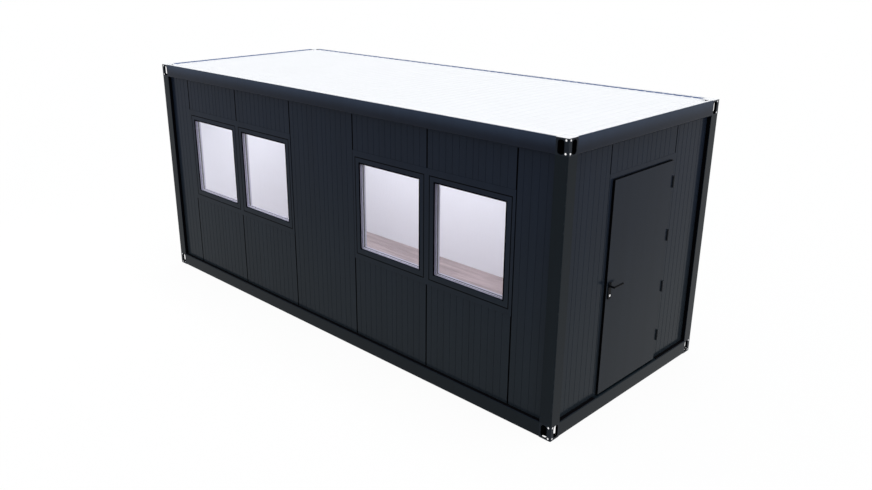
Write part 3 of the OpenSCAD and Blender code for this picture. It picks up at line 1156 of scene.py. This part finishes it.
@dataclass(frozen=True)
class BrightMetal(Finish):
    """Bright plated metal of the bolts and lock cylinders."""

    tone: Colour = (0.9, 0.9, 0.91)
    gloss: float = 0.2

    def shader_inputs(self, graph: Graph) -> Inputs:
        """Wires the plating's grain.

        Args:
            graph: The material's tree.

        Returns:
            A socket, number or colour for each input.
        """
        grain = METAL_GRAIN.use(graph, Tone=self.tone, Spread=0.12, Gloss=self.gloss)
        return {
            "Base Color": grain["Colour"],
            "Roughness": grain["Roughness"],
            "Normal": graph.bump(grain["Height"], 0.01 * MM),
            "Metallic": 1.0,
        }


@dataclass(frozen=True)
class RoofCoat(Finish):
    """White coil-coated roof sheet with a trace of dust between its ribs."""

    rib: float = 3 * MM
    dust: Colour = srgb(190, 190, 186)
    dust_share: float = 0.1

    def shader_inputs(self, graph: Graph) -> Inputs:
        """Wires the white film and the dust that settles low on the sheet.

        Args:
            graph: The material's tree.

        Returns:
            A socket, number or colour for each input.
        """
        film = PAINT_FILM.use(graph, Tone=ROOF_WHITE, Spread=0.04, Gloss=0.4)
        low = graph.ramp(graph.axes()[2], ROOF_HIGH.z, ROOF_HIGH.z - self.rib)
        dust = graph.times(low, graph.times(graph.noise(scale=2.5, detail=5.0), self.dust_share))
        return {
            "Base Color": graph.mix(dust, film["Colour"], self.dust),
            "Roughness": film["Roughness"],
            "Normal": graph.bump(film["Height"], 0.03 * MM),
            "Specular IOR Level": 0.2,
        }


@dataclass(frozen=True)
class RoomWhite(Finish):
    """White ceiling and joint filler, with fine joints between the ceiling's boards."""

    joint: Colour = srgb(150, 150, 154)
    joint_half: float = 2 * MM
    joints_from_z: float = CEILING_LOW.z - 5 * MM

    def shader_inputs(self, graph: Graph) -> Inputs:
        """Wires the white film and the joints between boards.

        Args:
            graph: The material's tree.

        Returns:
            A socket, number or colour for each input.
        """
        film = lining(graph)
        x, _, z = graph.axes()
        in_joint = graph.under(graph.off_row(x, PANEL_PITCH, PANEL_PITCH / 2), self.joint_half)
        joint = graph.times(in_joint, graph.over(z, self.joints_from_z))
        return {
            "Base Color": graph.mix(joint, film["Colour"], self.joint),
            "Roughness": film["Roughness"],
            "Normal": graph.bump(film["Height"], 0.04 * MM),
            "Specular IOR Level": 0.1,
        }


@dataclass(frozen=True)
class ClearGlass(Finish):
    """Clear pane with a breath of haze, which lets lamp light pass straight through."""

    def shader_inputs(self, graph: Graph) -> Inputs:
        """Wires the pane and its haze.

        Args:
            graph: The material's tree.

        Returns:
            A socket, number or colour for each input.
        """
        return {
            "Base Color": (0.97, 0.98, 0.99),
            "Roughness": graph.times(graph.noise(scale=3.0, detail=4.0), 0.02),
            "IOR": 1.45,
            "Transmission Weight": 1.0,
        }

    def surface(self, graph: Graph, shader: Node) -> NodeSocket:
        """Adds the straight-through share for shadow and diffuse rays.

        Args:
            graph: The material's tree.
            shader: Its Principled shader.

        Returns:
            The shader socket for the surface.
        """
        pane = super().surface(graph, shader)
        rays = graph.add("ShaderNodeLightPath").outputs
        straight = graph.most(rays["Is Shadow Ray"], rays["Is Diffuse Ray"])
        return graph.blend(straight, pane, graph.add("ShaderNodeBsdfTransparent").outputs[0])


@dataclass(frozen=True)
class Laminate(Finish):
    """Pinkish-grey oak laminate, with a tone for each board and grain along it."""

    tone: Colour = srgb(148, 131, 134)
    tone_layer: str = "board_tone"

    def shader_inputs(self, graph: Graph) -> Inputs:
        """Wires each board's tone, its broad figure and its fine grain.

        Args:
            graph: The material's tree.

        Returns:
            A socket, number or colour for each input.
        """
        board = graph.add("ShaderNodeAttribute", attribute_name=self.tone_layer).outputs["Fac"]
        figure = graph.noise(scale=1.0, detail=4.0, vector=graph.stretched(1.2, 17.0, 1.0))
        grain = graph.noise(scale=1.0, detail=4.0, vector=graph.stretched(7.0, 320.0, 1.0))
        factor = 1.0
        for pattern, share in ((board, 0.2), (figure, 1.5), (grain, 0.3)):
            factor = graph.swing(factor, pattern, share)
        return {
            "Base Color": graph.scaled(self.tone, factor),
            "Roughness": graph.swing(0.42, grain, 0.2),
            "Normal": graph.bump(grain, 0.1 * MM),
            "Specular IOR Level": 0.3,
        }


@dataclass(frozen=True)
class StudioGround(Finish):
    """White ground for the camera that still takes the cabin's shadow, and a grey one for bounced light."""

    glow: float = 0.94
    bounce: Colour = (0.34, 0.34, 0.35)
    paper: Colour = (0.95, 0.95, 0.95)

    def shader_inputs(self, graph: Graph) -> Inputs:
        """Wires the paper that the camera sees and the grey that bounces light.

        Args:
            graph: The material's tree.

        Returns:
            A socket, number or colour for each input.
        """
        return {
            "Base Color": graph.mix(graph.seen_by_eye(), self.bounce, self.paper),
            "Roughness": 1.0,
            "Specular IOR Level": 0.0,
        }

    def surface(self, graph: Graph, shader: Node) -> NodeSocket:
        """Adds the share of glow that the camera and reflections see.

        Args:
            graph: The material's tree.
            shader: Its Principled shader.

        Returns:
            The shader socket for the surface.
        """
        paper = super().surface(graph, shader)
        share = graph.times(graph.seen_by_eye(), self.glow)
        return graph.blend(share, paper, graph.add("ShaderNodeEmission").outputs[0])


FRAME_PAINT = FramePaint("frame_paint")
RIM_PAINT = RimPaint("rim_paint")
CASTING_PAINT = CastingPaint("sand_cast_paint")
PANEL_PAINT = PanelPaint("panel_paint")
END_PAINT = PanelPaint("end_panel_paint", groove_shade=0.0, groove_dust=0.05)
CASING_PAINT = CasingPaint("casing_paint")
LEAF_PAINT = LeafPaint("leaf_paint", tone=srgb(35, 42, 54), foot_light_tone=srgb(40, 46, 53))
SURROUND_PAINT = PlainPaint("surround_paint")
WINDOW_FOIL = WindowProfile("window_foil")
SEAL_RUBBER = Rubber("seal_rubber")
WALL_RUBBER = EdgeRubber("wall_rubber")
PANE_RUBBER = Rubber("pane_rubber", tone=(0.02, 0.02, 0.024))
GLAZING_RUBBER = Rubber("glazing_rubber", tone=(0.0014, 0.0016, 0.0026), specular=0.004)
TRACK_RUBBER = Rubber("track_rubber", tone=(0.009, 0.012, 0.022))
FITTING_BLACK = BlackCoat("fitting_black")
HINGE_BLACK = BlackCoat("hinge_black", tone=(0.016, 0.019, 0.024), specular=0.12)
ZINC_SPANGLE = Galvanised("zinc_spangle")
PLATED_METAL = BrightMetal("plated_metal")
BOLT_ZINC = BrightMetal("bolt_zinc", gloss=0.16)
ROOF_COAT = RoofCoat("roof_coat")
ROOM_WHITE = RoomWhite("room_white")
PANE_GLASS = ClearGlass("pane_glass")
FLOOR_LAMINATE = Laminate("oak_laminate")
GROUND = StudioGround("studio_ground")


@dataclass
class Workshop:
    """Turns a bmesh into a finished piece that rides on a body."""

    name: str
    finish: Finish
    body: Body
    slot: Slot
    smooth_deg: float = 35.0
    weld: float = 0.001 * MM
    mesh: BMesh = field(default_factory=bmesh.new)

    def complete(self) -> Object:
        """Closes the mesh and hands the piece over.

        Returns:
            The finished object.
        """
        bmesh.ops.remove_doubles(self.mesh, verts=self.mesh.verts[:], dist=self.weld)
        bmesh.ops.recalc_face_normals(self.mesh, faces=self.mesh.faces[:])
        sharp = math.radians(self.smooth_deg)
        for edge in self.mesh.edges:
            edge.smooth = len(edge.link_faces) == 2 and edge.calc_face_angle() < sharp
        for face in self.mesh.faces:
            face.smooth = True
        data = bpy.data.meshes.new(self.name)
        self.mesh.to_mesh(data)
        self.mesh.free()
        data.materials.append(self.finish.material())
        piece = placed(self.name, data)
        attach(piece, self.body.value)
        LOG.info("piece %s: %d faces on %s", self.name, len(data.polygons), self.body.value)
        return piece

    def added(self, before: set[BMVert]) -> list[BMVert]:
        """Returns the vertices that have come since an earlier set of them."""
        return [vert for vert in self.mesh.verts if vert not in before]

    def box(self, low: Iterable[float], high: Iterable[float]) -> list[BMVert]:
        """Adds a box.

        Args:
            low: Lowest corner in metres.
            high: Highest corner in metres.

        Returns:
            The box's vertices.
        """
        low_corner = Vector(low)
        size = Vector(high) - low_corner
        place = Matrix.Translation(low_corner + size / 2) @ Matrix.Diagonal((*size, 1.0))
        return bmesh.ops.create_cube(self.mesh, size=1.0, matrix=place)["verts"]

    def soften(self, verts: Iterable[BMVert], width: float) -> None:
        """Bevels every edge between the given vertices.

        Args:
            verts: Vertices of a separate shape.
            width: Width of the bevel in metres.
        """
        edges = once_each(edge for vert in verts for edge in vert.link_edges)
        bmesh.ops.bevel(self.mesh, geom=edges, offset=width, offset_type="OFFSET", segments=1,
                        profile=0.5, affect="EDGES", material=-1)

    def strip(self, wall: Wall, low: Place, high: Place, width: float) -> None:
        """Adds a softened strip on a wall.

        Args:
            wall: The wall it lies on.
            low: Lowest place along the wall, depth and height.
            high: Highest place along the wall, depth and height.
            width: Width of the bevel on its edges.
        """
        verts = self.box(low, high)
        bmesh.ops.transform(self.mesh, matrix=wall.place(), verts=verts)
        self.soften(verts, width)

    def ring(self, low: Place, high: Place, bar: float, width: float, foot: bool = True) -> None:
        """Adds a rectangular ring that stands in the XZ plane, with softened edges.

        Args:
            low: Lowest outer corner in metres.
            high: Highest outer corner in metres.
            bar: Width of the ring's bars.
            width: Width of the bevel on its edges.
            foot: Whether it has a bar at its foot.
        """
        before = set(self.mesh.verts)
        start = Vector(low) if foot else Vector(low) - Vector((0, 0, 2 * bar))
        verts = self.box(start, high)
        faces = once_each(face for vert in verts for face in vert.link_faces)
        ends = [face for face in faces if abs(face.normal.y) > 0.9]
        bmesh.ops.inset_individual(self.mesh, faces=ends, thickness=bar, use_even_offset=True)
        loops = once_each(edge for face in ends for edge in face.edges)
        bmesh.ops.delete(self.mesh, geom=ends, context="FACES_ONLY")
        bmesh.ops.bridge_loops(self.mesh, edges=loops)
        bmesh.ops.recalc_face_normals(self.mesh, faces=self.mesh.faces[:])
        self.soften(self.added(before), width)
        if not foot:
            self.cut_off(self.added(before), low[2])

    def cut_off(self, verts: list[BMVert], level: float) -> None:
        """Cuts a shape level and closes it again.

        Args:
            verts: The shape's vertices.
            level: Height below which it is taken away.
        """
        parts = once_each(part for vert in verts for part in (vert, *vert.link_edges, *vert.link_faces))
        cut = bmesh.ops.bisect_plane(self.mesh, geom=parts, plane_co=(0, 0, level),
                                     plane_no=(0, 0, -1), clear_outer=True)
        rims = [part for part in cut["geom_cut"] if isinstance(part, BMEdge)]
        bmesh.ops.edgeloop_fill(self.mesh, edges=rims)

    def turned(self, profile: Profile, place: Matrix, steps: int) -> None:
        """Adds a shape turned from a profile of radius and height.

        Args:
            profile: Radius and height of each ring, from the foot to the top middle.
            place: Where the turned shape goes.
            steps: Faces round the shape.
        """
        before = set(self.mesh.verts)
        start = [self.mesh.verts.new((radius, 0.0, height)) for radius, height in profile]
        edges = [self.mesh.edges.new(pair) for pair in zip(start, start[1:])]
        bmesh.ops.spin(self.mesh, geom=start + edges, cent=(0, 0, 0), axis=(0, 0, 1), angle=math.tau,
                       steps=steps, use_merge=True, use_duplicate=False)
        bmesh.ops.remove_doubles(self.mesh, verts=self.added(before), dist=self.weld)
        bmesh.ops.transform(self.mesh, matrix=place, verts=self.added(before))


@dataclass
class SubAssembly:
    """CAD nodes that are dressed together, with the pieces that finish them."""

    finishes: ClassVar[dict[Finish, tuple[str, ...]]] = {}

    def dress(self) -> None:
        """Gives each CAD node its finish."""
        for finish, names in self.finishes.items():
            for name in names:
                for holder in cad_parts[name].material_slots:
                    holder.material = finish.material()
                LOG.info("node %s: %s", name, finish.name)

    def build(self) -> None:
        """Builds the pieces that the solids leave out."""


@dataclass
class SteelFrame(SubAssembly):
    """Castings, posts and rails, with bright button-head bolts in the sunk seats of the castings."""

    finishes = {
        CASTING_PAINT: ("lower_corner_castings", "upper_corner_castings"),
        FRAME_PAINT: (
            "front_left_post", "front_right_post", "back_left_post", "back_right_post",
            "front_floor_rail", "back_floor_rail", "left_floor_rail", "right_floor_rail",
        ),
        RIM_PAINT: ("front_roof_rail", "back_roof_rail", "left_roof_rail", "right_roof_rail"),
    }
    edge: float = 28 * MM
    level: float = 18 * MM
    seat: float = 5 * MM
    head_r: float = 10.4 * MM
    head_h: float = 4.6 * MM
    rim_h: float = 1.2 * MM
    socket_r: float = 3.6 * MM
    socket_deep: float = 2.6 * MM
    dome_rings: int = 4
    steps: int = 24

    def profile(self) -> Profile:
        """Returns the bolt head's profile, from its seat over the dome into the socket."""
        rise = self.head_h - self.rim_h
        run = self.head_r - self.socket_r
        turns = [math.pi / 2 * step / self.dome_rings for step in range(self.dome_rings + 1)]
        dome = [(self.socket_r + run * math.cos(turn), self.rim_h + rise * math.sin(turn)) for turn in turns]
        floor_z = self.head_h - self.socket_deep
        return [(0.0, 0.0), (self.head_r, 0.0), *dome, (self.socket_r, floor_z), (0.0, floor_z)]

    def places(self) -> Iterator[Matrix]:
        """Finds the bolts' seats: two on each outer face of each casting.

        Yields:
            The place of each bolt.
        """
        for node in ("lower_corner_castings", "upper_corner_castings"):
            low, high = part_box(node)
            levels = (low.z + self.level, high.z - self.level)
            for z, sx, sy in product(levels, (-1, 1), (-1, 1)):
                end_face = Vector((sx * (high.x - self.seat), sy * (high.y - self.edge), z))
                long_face = Vector((sx * (high.x - self.edge), sy * (high.y - self.seat), z))
                yield Matrix.Translation(end_face) @ Matrix.Rotation(sx * math.pi / 2, 4, "Y")
                yield Matrix.Translation(long_face) @ Matrix.Rotation(-sy * math.pi / 2, 4, "X")

    def build(self) -> None:
        """Builds all bolts as one piece."""
        shop = Workshop("casting_bolts", BOLT_ZINC, Body.CABIN, Slot.ZINC)
        for place in self.places():
            shop.turned(self.profile(), place, self.steps)
        shop.complete()


@dataclass
class Roof(SubAssembly):
    """Roof sheet and ceiling, which the solids give in full."""

    finishes = {ROOF_COAT: ("roof_sheet",), ROOM_WHITE: ("ceiling",)}


@dataclass
class Floor(SubAssembly):
    """Underfloor, and staggered laminate boards in place of the plain floor deck."""

    finishes = {
        ZINC_SPANGLE: ("floor_crossmembers", "underfloor_sheet"),
        FLOOR_LAMINATE: ("floor_deck",),
    }
    rows: int = 12
    length: float = 1.28
    first_cut: float = 0.35
    stagger: float = 0.13
    gap: float = 0.4 * MM
    edge: float = 0.8 * MM
    corner: float = DECK_HIGH.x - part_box("front_floor_rail")[1].x
    casting_top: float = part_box("lower_corner_castings")[1].z + 0.2 * MM
    tone_step: float = 0.618034

    def spans(self, row: int) -> Iterator[tuple[float, float]]:
        """Cuts a row into boards.

        Args:
            row: The row's number.

        Yields:
            Start and end of each board along X.
        """
        start = DECK_LOW.x
        cut = start + self.length * (self.first_cut + (row * 2 % 5) * self.stagger)
        while start < DECK_HIGH.x:
            yield start, min(cut, DECK_HIGH.x)
            start = cut
            cut += self.length

    def boards(self) -> Iterator[tuple[int, Vector, Vector]]:
        """Lays the boards, split where they meet a corner casting.

        Yields:
            The board's number and the lowest and highest corner of each of its parts.
        """
        number = 0
        pitch = (DECK_HIGH.y - DECK_LOW.y) / self.rows
        for row in range(self.rows):
            for x0, x1 in self.spans(row):
                number += 1
                start = Vector((x0, DECK_LOW.y + row * pitch, DECK_LOW.z))
                end = Vector((x1, start.y + pitch, DECK_HIGH.z))
                for part in self.notched(start, end):
                    yield number, *part

    def notched(self, start: Vector, end: Vector) -> Iterator[tuple[Vector, Vector]]:
        """Splits a board round the castings, over which it is thinner.

        Args:
            start: Lowest corner of the board.
            end: Highest corner of the board.

        Yields:
            Lowest and highest corner of each part.
        """
        at_front = start.y <= DECK_LOW.y + self.edge
        at_side = at_front or end.y >= DECK_HIGH.y - self.edge
        left = start.x + self.corner if at_side and start.x <= DECK_LOW.x else start.x
        right = end.x - self.corner if at_side and end.x >= DECK_HIGH.x else end.x
        yield Vector((left, start.y, start.z)), Vector((right, end.y, end.z))
        split = start.y + self.corner if at_front else end.y - self.corner
        feet = (self.casting_top, start.z) if at_front else (start.z, self.casting_top)
        for x0, x1 in ((start.x, left), (right, end.x)):
            if x1 > x0:
                yield Vector((x0, start.y, feet[0])), Vector((x1, split, end.z))
                yield Vector((x0, split, feet[1])), Vector((x1, end.y, end.z))

    def build(self) -> None:
        """Builds the boards as one piece that stands for the deck."""
        shop = Workshop("floor_boards", FLOOR_LAMINATE, Body.CABIN, Slot.LAMINATE, smooth_deg=20.0)
        layer = shop.mesh.faces.layers.float.new(FLOOR_LAMINATE.tone_layer)
        inset = Vector((self.gap / 2, self.gap / 2, 0))
        for number, start, end in self.boards():
            before = set(shop.mesh.faces)
            shop.soften(shop.box(start + inset, end - inset), self.edge)
            tone = math.modf(number * self.tone_step)[0]
            for face in shop.mesh.faces:
                if face not in before:
                    face[layer] = tone
        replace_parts(shop.complete(), "floor_deck")


@dataclass
class Walls(SubAssembly):
    """Wall panels and seals, with white filler in the joints towards the room."""

    finishes = {
        PANEL_PAINT: (
            "front_left_panel", "front_window_panel_1", "front_window_panel_2", "front_centre_panel",
            "front_window_panel_3", "front_window_panel_4", "front_right_panel", "back_wall_panels",
            "left_wall_panels",
        ),
        END_PAINT: ("door_wall_left_panel", "door_wall_right_panel", "door_wall_top_panel"),
        WALL_RUBBER: ("wall_seals",),
    }
    joint_counts: ClassVar[dict[Wall, int]] = {Wall.FRONT: 6, Wall.BACK: 6, Wall.BLANK_END: 2}
    joint_half: float = 0.98 * MM
    filler_in: float = CORNER.y - PANEL_IN_Y
    filler_deep: float = 12 * MM
    filler_edge: float = 0.1 * MM

    def build(self) -> None:
        """Builds the filler strips from floor to ceiling as one piece."""
        shop = Workshop("joint_filler", ROOM_WHITE, Body.CABIN, Slot.WHITE)
        filler_out = self.filler_in - self.filler_deep
        for wall, count in self.joint_counts.items():
            for number in range(count):
                s = (number - (count - 1) / 2) * PANEL_PITCH
                shop.strip(wall, (s - self.joint_half, filler_out, DECK_HIGH.z),
                           (s + self.joint_half, self.filler_in, CEILING_LOW.z), self.filler_edge)
        shop.complete()


@dataclass(frozen=True)
class WindowRing:
    """A ring of rubber or sealant that each window has.

    The depths are those of its outer and inner face behind the cabin's side, grow is how far its outer
    edge lies outside the edge that it follows, and bar is the width of its bars.
    """

    name: str
    finish: Finish
    edge: WindowEdge
    depths: tuple[float, float]
    grow: float
    bar: float
    foot: bool = True


@dataclass
class Windows(SubAssembly):
    """Frames, panes and surrounds, with the rubber and sealant round them."""

    finishes = {
        SURROUND_PAINT: ("window_surrounds",),
        WINDOW_FOIL: ("window_frame_1", "window_frame_2", "window_frame_3", "window_frame_4"),
        PANE_GLASS: ("window_panes",),
    }
    side_bar: float = 58 * MM
    sill_bar: float = 62 * MM
    top_bar: float = 53 * MM
    face: float = CORNER.y + WINDOW_LOW.y
    glass: float = CORNER.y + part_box("window_panes")[1].y
    panel_face: float = CORNER.y - PANEL_Y
    bead_w: float = 10 * MM
    screen: tuple[float, float] = (80 * MM, 98 * MM)
    screen_d: float = 6 * MM
    track_foot: float = 1 * MM
    lip: float = 4 * MM
    sunk: float = 1 * MM
    play: float = 0.2 * MM
    ring_edge: float = 0.4 * MM

    def corners(self, frame_node: str, edge: WindowEdge) -> tuple[Vector, Vector]:
        """Finds the edge that a ring follows.

        Args:
            frame_node: Name of the window frame.
            edge: Which edge.

        Returns:
            Its lowest and highest corner.
        """
        low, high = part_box(frame_node)
        trim = Vector((WINDOW_TRIM, 0, WINDOW_TRIM))
        low, high = low + trim, high - trim
        if edge is WindowEdge.DAYLIGHT:
            low = low + Vector((self.side_bar, 0, self.sill_bar))
            high = high - Vector((self.side_bar, 0, self.top_bar))
        return low, high

    def rings(self) -> tuple[WindowRing, ...]:
        """Returns the glazing rubber, the screen tracks and the sealant round the frames."""
        play = self.play
        bead = self.bead_w - play
        daylight = WindowEdge.DAYLIGHT
        return (
            WindowRing("outer_glazing_gaskets", GLAZING_RUBBER, daylight,
                       (self.face + play, self.face + BEAD_DEPTH - play), bead, bead + self.lip, foot=False),
            WindowRing("inner_glazing_gaskets", PANE_RUBBER, daylight,
                       (self.glass, self.glass + self.lip), -play, self.lip / 2),
            WindowRing("screen_tracks", TRACK_RUBBER, daylight,
                       (self.screen[0] + play, self.screen[1] - play), self.screen_d - play,
                       self.screen_d - self.track_foot),
            WindowRing("frame_sealant", SEAL_RUBBER, WindowEdge.OUTLINE,
                       (self.face + self.sunk, self.panel_face - play), WINDOW_GAP - play,
                       WINDOW_GAP - 2 * play),
        )

    def build(self) -> None:
        """Builds each kind of ring as one piece."""
        for ring in self.rings():
            shop = Workshop(ring.name, ring.finish, Body.CABIN, Slot.RUBBER)
            out_y, in_y = (depth - CORNER.y for depth in ring.depths)
            for frame_node in self.finishes[WINDOW_FOIL]:
                low, high = self.corners(frame_node, ring.edge)
                start = (low.x - ring.grow, out_y, low.z - ring.grow)
                end = (high.x + ring.grow, in_y, high.z + ring.grow)
                shop.ring(start, end, ring.bar, self.ring_edge, ring.foot)
            shop.complete()


@dataclass
class Door(SubAssembly):
    """Door end, with sealant beside the casing, collars round the lever's necks and screws in its plates."""

    finishes = {
        CASING_PAINT: ("door_frame",),
        LEAF_PAINT: ("door_leaf",),
        SEAL_RUBBER: ("door_seal",),
        HINGE_BLACK: ("frame_hinges", "leaf_hinges"),
        FITTING_BLACK: ("handle_plates", "handle_lever"),
        PLATED_METAL: ("lock_cylinders",),
    }
    joint_w: float = 7 * MM
    joint_d: float = 8 * MM
    joint_out: float = CORNER.x - PANEL_X
    sealant_edge: float = 0.2 * MM
    play: float = 0.1 * MM
    collar_r: float = 14 * MM
    neck_r: float = 9.3 * MM
    collar_h: float = 5 * MM
    collar_edge: float = 1 * MM
    collar_steps: int = 32
    screw_r: float = 4 * MM
    screw_h: float = 1.6 * MM
    screw_shoulder: tuple[float, float] = (0.92, 0.6)
    screw_up: float = 15 * MM
    screw_down: float = 14 * MM
    screw_steps: int = 16

    def sealant(self) -> None:
        """Fills the joints between the casing and the panels beside it."""
        shop = Workshop("casing_sealant", PANEL_PAINT, Body.CABIN, Slot.PAINT)
        depths = (self.joint_out + self.play, self.joint_out + self.joint_d - self.play)
        edges = (CASING.y + self.play, CASING.y + self.joint_w - self.play)
        for way in (-1, 1):
            near, far = sorted(way * edge for edge in edges)
            shop.strip(Wall.DOOR_END, (near, depths[0], CASING_LOW.z), (far, depths[1], CASING.z),
                       self.sealant_edge)
        shop.complete()

    def collar(self) -> Profile:
        """Returns the collar's closed profile."""
        edge_r, edge_h = self.collar_r - self.collar_edge, self.collar_h - self.collar_edge
        return [(self.neck_r, 0.0), (self.collar_r, 0.0), (self.collar_r, edge_h), (edge_r, self.collar_h),
                (self.neck_r, self.collar_h), (self.neck_r, 0.0)]

    def screw(self) -> Profile:
        """Returns the screw head's profile, from its seat into the socket."""
        socket_r, floor_z = self.screw_r / 2, self.screw_h / 3
        shoulder = (self.screw_r * self.screw_shoulder[0], self.screw_h * self.screw_shoulder[1])
        return [(0.0, 0.0), (self.screw_r, 0.0), shoulder, (socket_r, self.screw_h), (socket_r, floor_z),
                (0.0, floor_z)]

    def build(self) -> None:
        """Builds the sealant, and the collars and screws of both handle plates."""
        self.sealant()
        low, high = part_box("handle_plates")
        mid_y = (low.y + high.y) / 2
        lever_z = sum(corner.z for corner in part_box("handle_lever")) / 2
        collars = Workshop("lever_collars", FITTING_BLACK, Body.DOOR, Slot.BLACK_METAL)
        screws = Workshop("handle_screws", FITTING_BLACK, Body.DOOR, Slot.BLACK_METAL)
        for x, way in ((high.x, 1), (low.x, -1)):
            turn = Matrix.Rotation(way * math.pi / 2, 4, "Y")
            place = Matrix.Translation((x, mid_y, lever_z)) @ turn
            collars.turned(self.collar(), place, self.collar_steps)
            for z in (high.z - self.screw_up, low.z + self.screw_down):
                screws.turned(self.screw(), Matrix.Translation((x, mid_y, z)) @ turn, self.screw_steps)
        collars.complete()
        screws.complete()


@dataclass(frozen=True)
class Sun:
    """A soft sun in a direction from the cabin, which gloss shows only if shines is set."""

    name: str
    towards: Place
    strength: float
    spread_deg: float
    shines: bool = True

    def hang(self) -> None:
        """Puts the sun in the scene."""
        data = bpy.data.lights.new(self.name, "SUN")
        data.energy = self.strength
        data.angle = math.radians(self.spread_deg)
        lamp = placed(self.name, data)
        lamp.rotation_euler = Vector(self.towards).to_track_quat("Z", "Y").to_euler()
        lamp.visible_glossy = self.shines


@dataclass(frozen=True)
class PanelLamp:
    """A broad lamp that only lights, without being seen."""

    name: str
    size: tuple[float, float]
    watts: float

    def hang(self, place: Matrix) -> None:
        """Puts the lamp in the scene, shining along its own -Z.

        Args:
            place: The lamp's place.
        """
        data = bpy.data.lights.new(self.name, "AREA")
        data.shape = "RECTANGLE"
        data.size, data.size_y = self.size
        data.energy = self.watts
        lamp = placed(self.name, data)
        lamp.matrix_world = place
        lamp.visible_camera = False
        lamp.visible_glossy = False
        lamp.visible_transmission = False


@dataclass
class Studio:
    """Ground, light and the photograph's camera."""

    suns: ClassVar[tuple[Sun, ...]] = (
        Sun("overhead_sun", (0.1, 0.0, 1.0), 1.58, 40.0),
        Sun("door_side_sun", (1.0, -0.05, 0.35), 0.31, 50.0),
        Sun("rear_sun", (-0.7, 1.0, 0.1), 0.7, 30.0, shines=False),
    )
    image_width: int = 872
    image_height: int = 490
    focal_px: float = 821.2
    centre_px: tuple[float, float] = (409.6, 240.3)
    camera_at: Place = (6.4084, -6.2247, 3.9182)
    azimuth_deg: float = 45.3611
    elevation_deg: float = 19.5066
    roll_deg: float = -0.123
    sensor_mm: float = 36.0
    sight: float = 200.0
    ground_size: float = 80.0
    ambient: float = 0.5
    ambient_tint: Colour = (0.94, 0.97, 1.0)
    room_watts: float = 61.0
    room_share: tuple[float, float] = (0.7, 0.35)
    room_x: float = -0.38
    room_drop: float = 10 * MM
    fill_watts: float = 28.0
    fill_size: tuple[float, float] = (2.0, 2.0)
    fill_at: Place = (-5.2, -3.8, 2.8)
    fill_towards: Place = (2.6, 2.6, -0.9)

    def camera(self) -> None:
        """Places the camera where the photograph was taken from."""
        data = bpy.data.cameras.new("photo_camera")
        data.sensor_width = self.sensor_mm
        data.lens = self.sensor_mm * self.focal_px / self.image_width
        data.shift_x = (self.image_width / 2 - self.centre_px[0]) / self.image_width
        data.shift_y = (self.centre_px[1] - self.image_height / 2) / self.image_width
        data.clip_end = self.sight
        camera = placed("photo_camera", data)
        turn = Matrix.Rotation(math.radians(self.azimuth_deg), 4, "Z")
        tilt = Matrix.Rotation(math.radians(90 - self.elevation_deg), 4, "X")
        roll = Matrix.Rotation(math.radians(self.roll_deg), 4, "Z")
        camera.matrix_world = Matrix.Translation(self.camera_at) @ turn @ tilt @ roll
        bpy.context.scene.camera = camera

    def world(self) -> None:
        """Makes a world that is white to look at and lights the cabin softly."""
        world = bpy.data.worlds.new("studio_world")
        world.use_nodes = True
        bpy.context.scene.world = world
        graph = Graph(world.node_tree)
        graph.tree.nodes.clear()
        light = graph.add("ShaderNodeBackground")
        graph.feed(light.inputs["Color"], self.ambient_tint)
        graph.feed(light.inputs["Strength"], self.ambient)
        white = graph.add("ShaderNodeBackground")
        graph.feed(white.inputs["Color"], (1.0, 1.0, 1.0))
        output = graph.add("ShaderNodeOutputWorld")
        sky = graph.blend(graph.seen_by_eye(), light.outputs[0], white.outputs[0])
        graph.feed(output.inputs["Surface"], sky)

    def ground(self) -> None:
        """Lays the ground under the cabin."""
        mesh = bmesh.new()
        bmesh.ops.create_grid(mesh, x_segments=1, y_segments=1, size=self.ground_size / 2)
        data = bpy.data.meshes.new("studio_ground")
        mesh.to_mesh(data)
        mesh.free()
        data.materials.append(GROUND.material())
        placed("studio_ground", data)

    def lamps(self) -> None:
        """Hangs the suns, a lamp under the ceiling that shows the room, and a fill lamp outside."""
        for sun in self.suns:
            sun.hang()
        ceiling = CEILING_HIGH - CEILING_LOW
        size = (ceiling.x * self.room_share[0], ceiling.y * self.room_share[1])
        under = Matrix.Translation((self.room_x, 0.0, CEILING_LOW.z - self.room_drop))
        PanelLamp("room_lamp", size, self.room_watts).hang(under)
        turn = Vector(self.fill_towards).to_track_quat("-Z", "Y").to_matrix().to_4x4()
        outside = Matrix.Translation(self.fill_at) @ turn
        PanelLamp("fill_lamp", self.fill_size, self.fill_watts).hang(outside)

    def build(self) -> None:
        """Sets up the whole studio."""
        bpy.context.scene.view_settings.view_transform = "Standard"
        self.camera()
        self.world()
        self.ground()
        self.lamps()


def main() -> None:
    """Builds the sub-assemblies and the studio in order."""
    logging.basicConfig(level=logging.INFO, format="%(name)s %(message)s")
    for part in (SteelFrame(), Roof(), Floor(), Walls(), Windows(), Door()):
        part.dress()
        part.build()
    Studio().build()


if __name__ == "__main__":
    main()
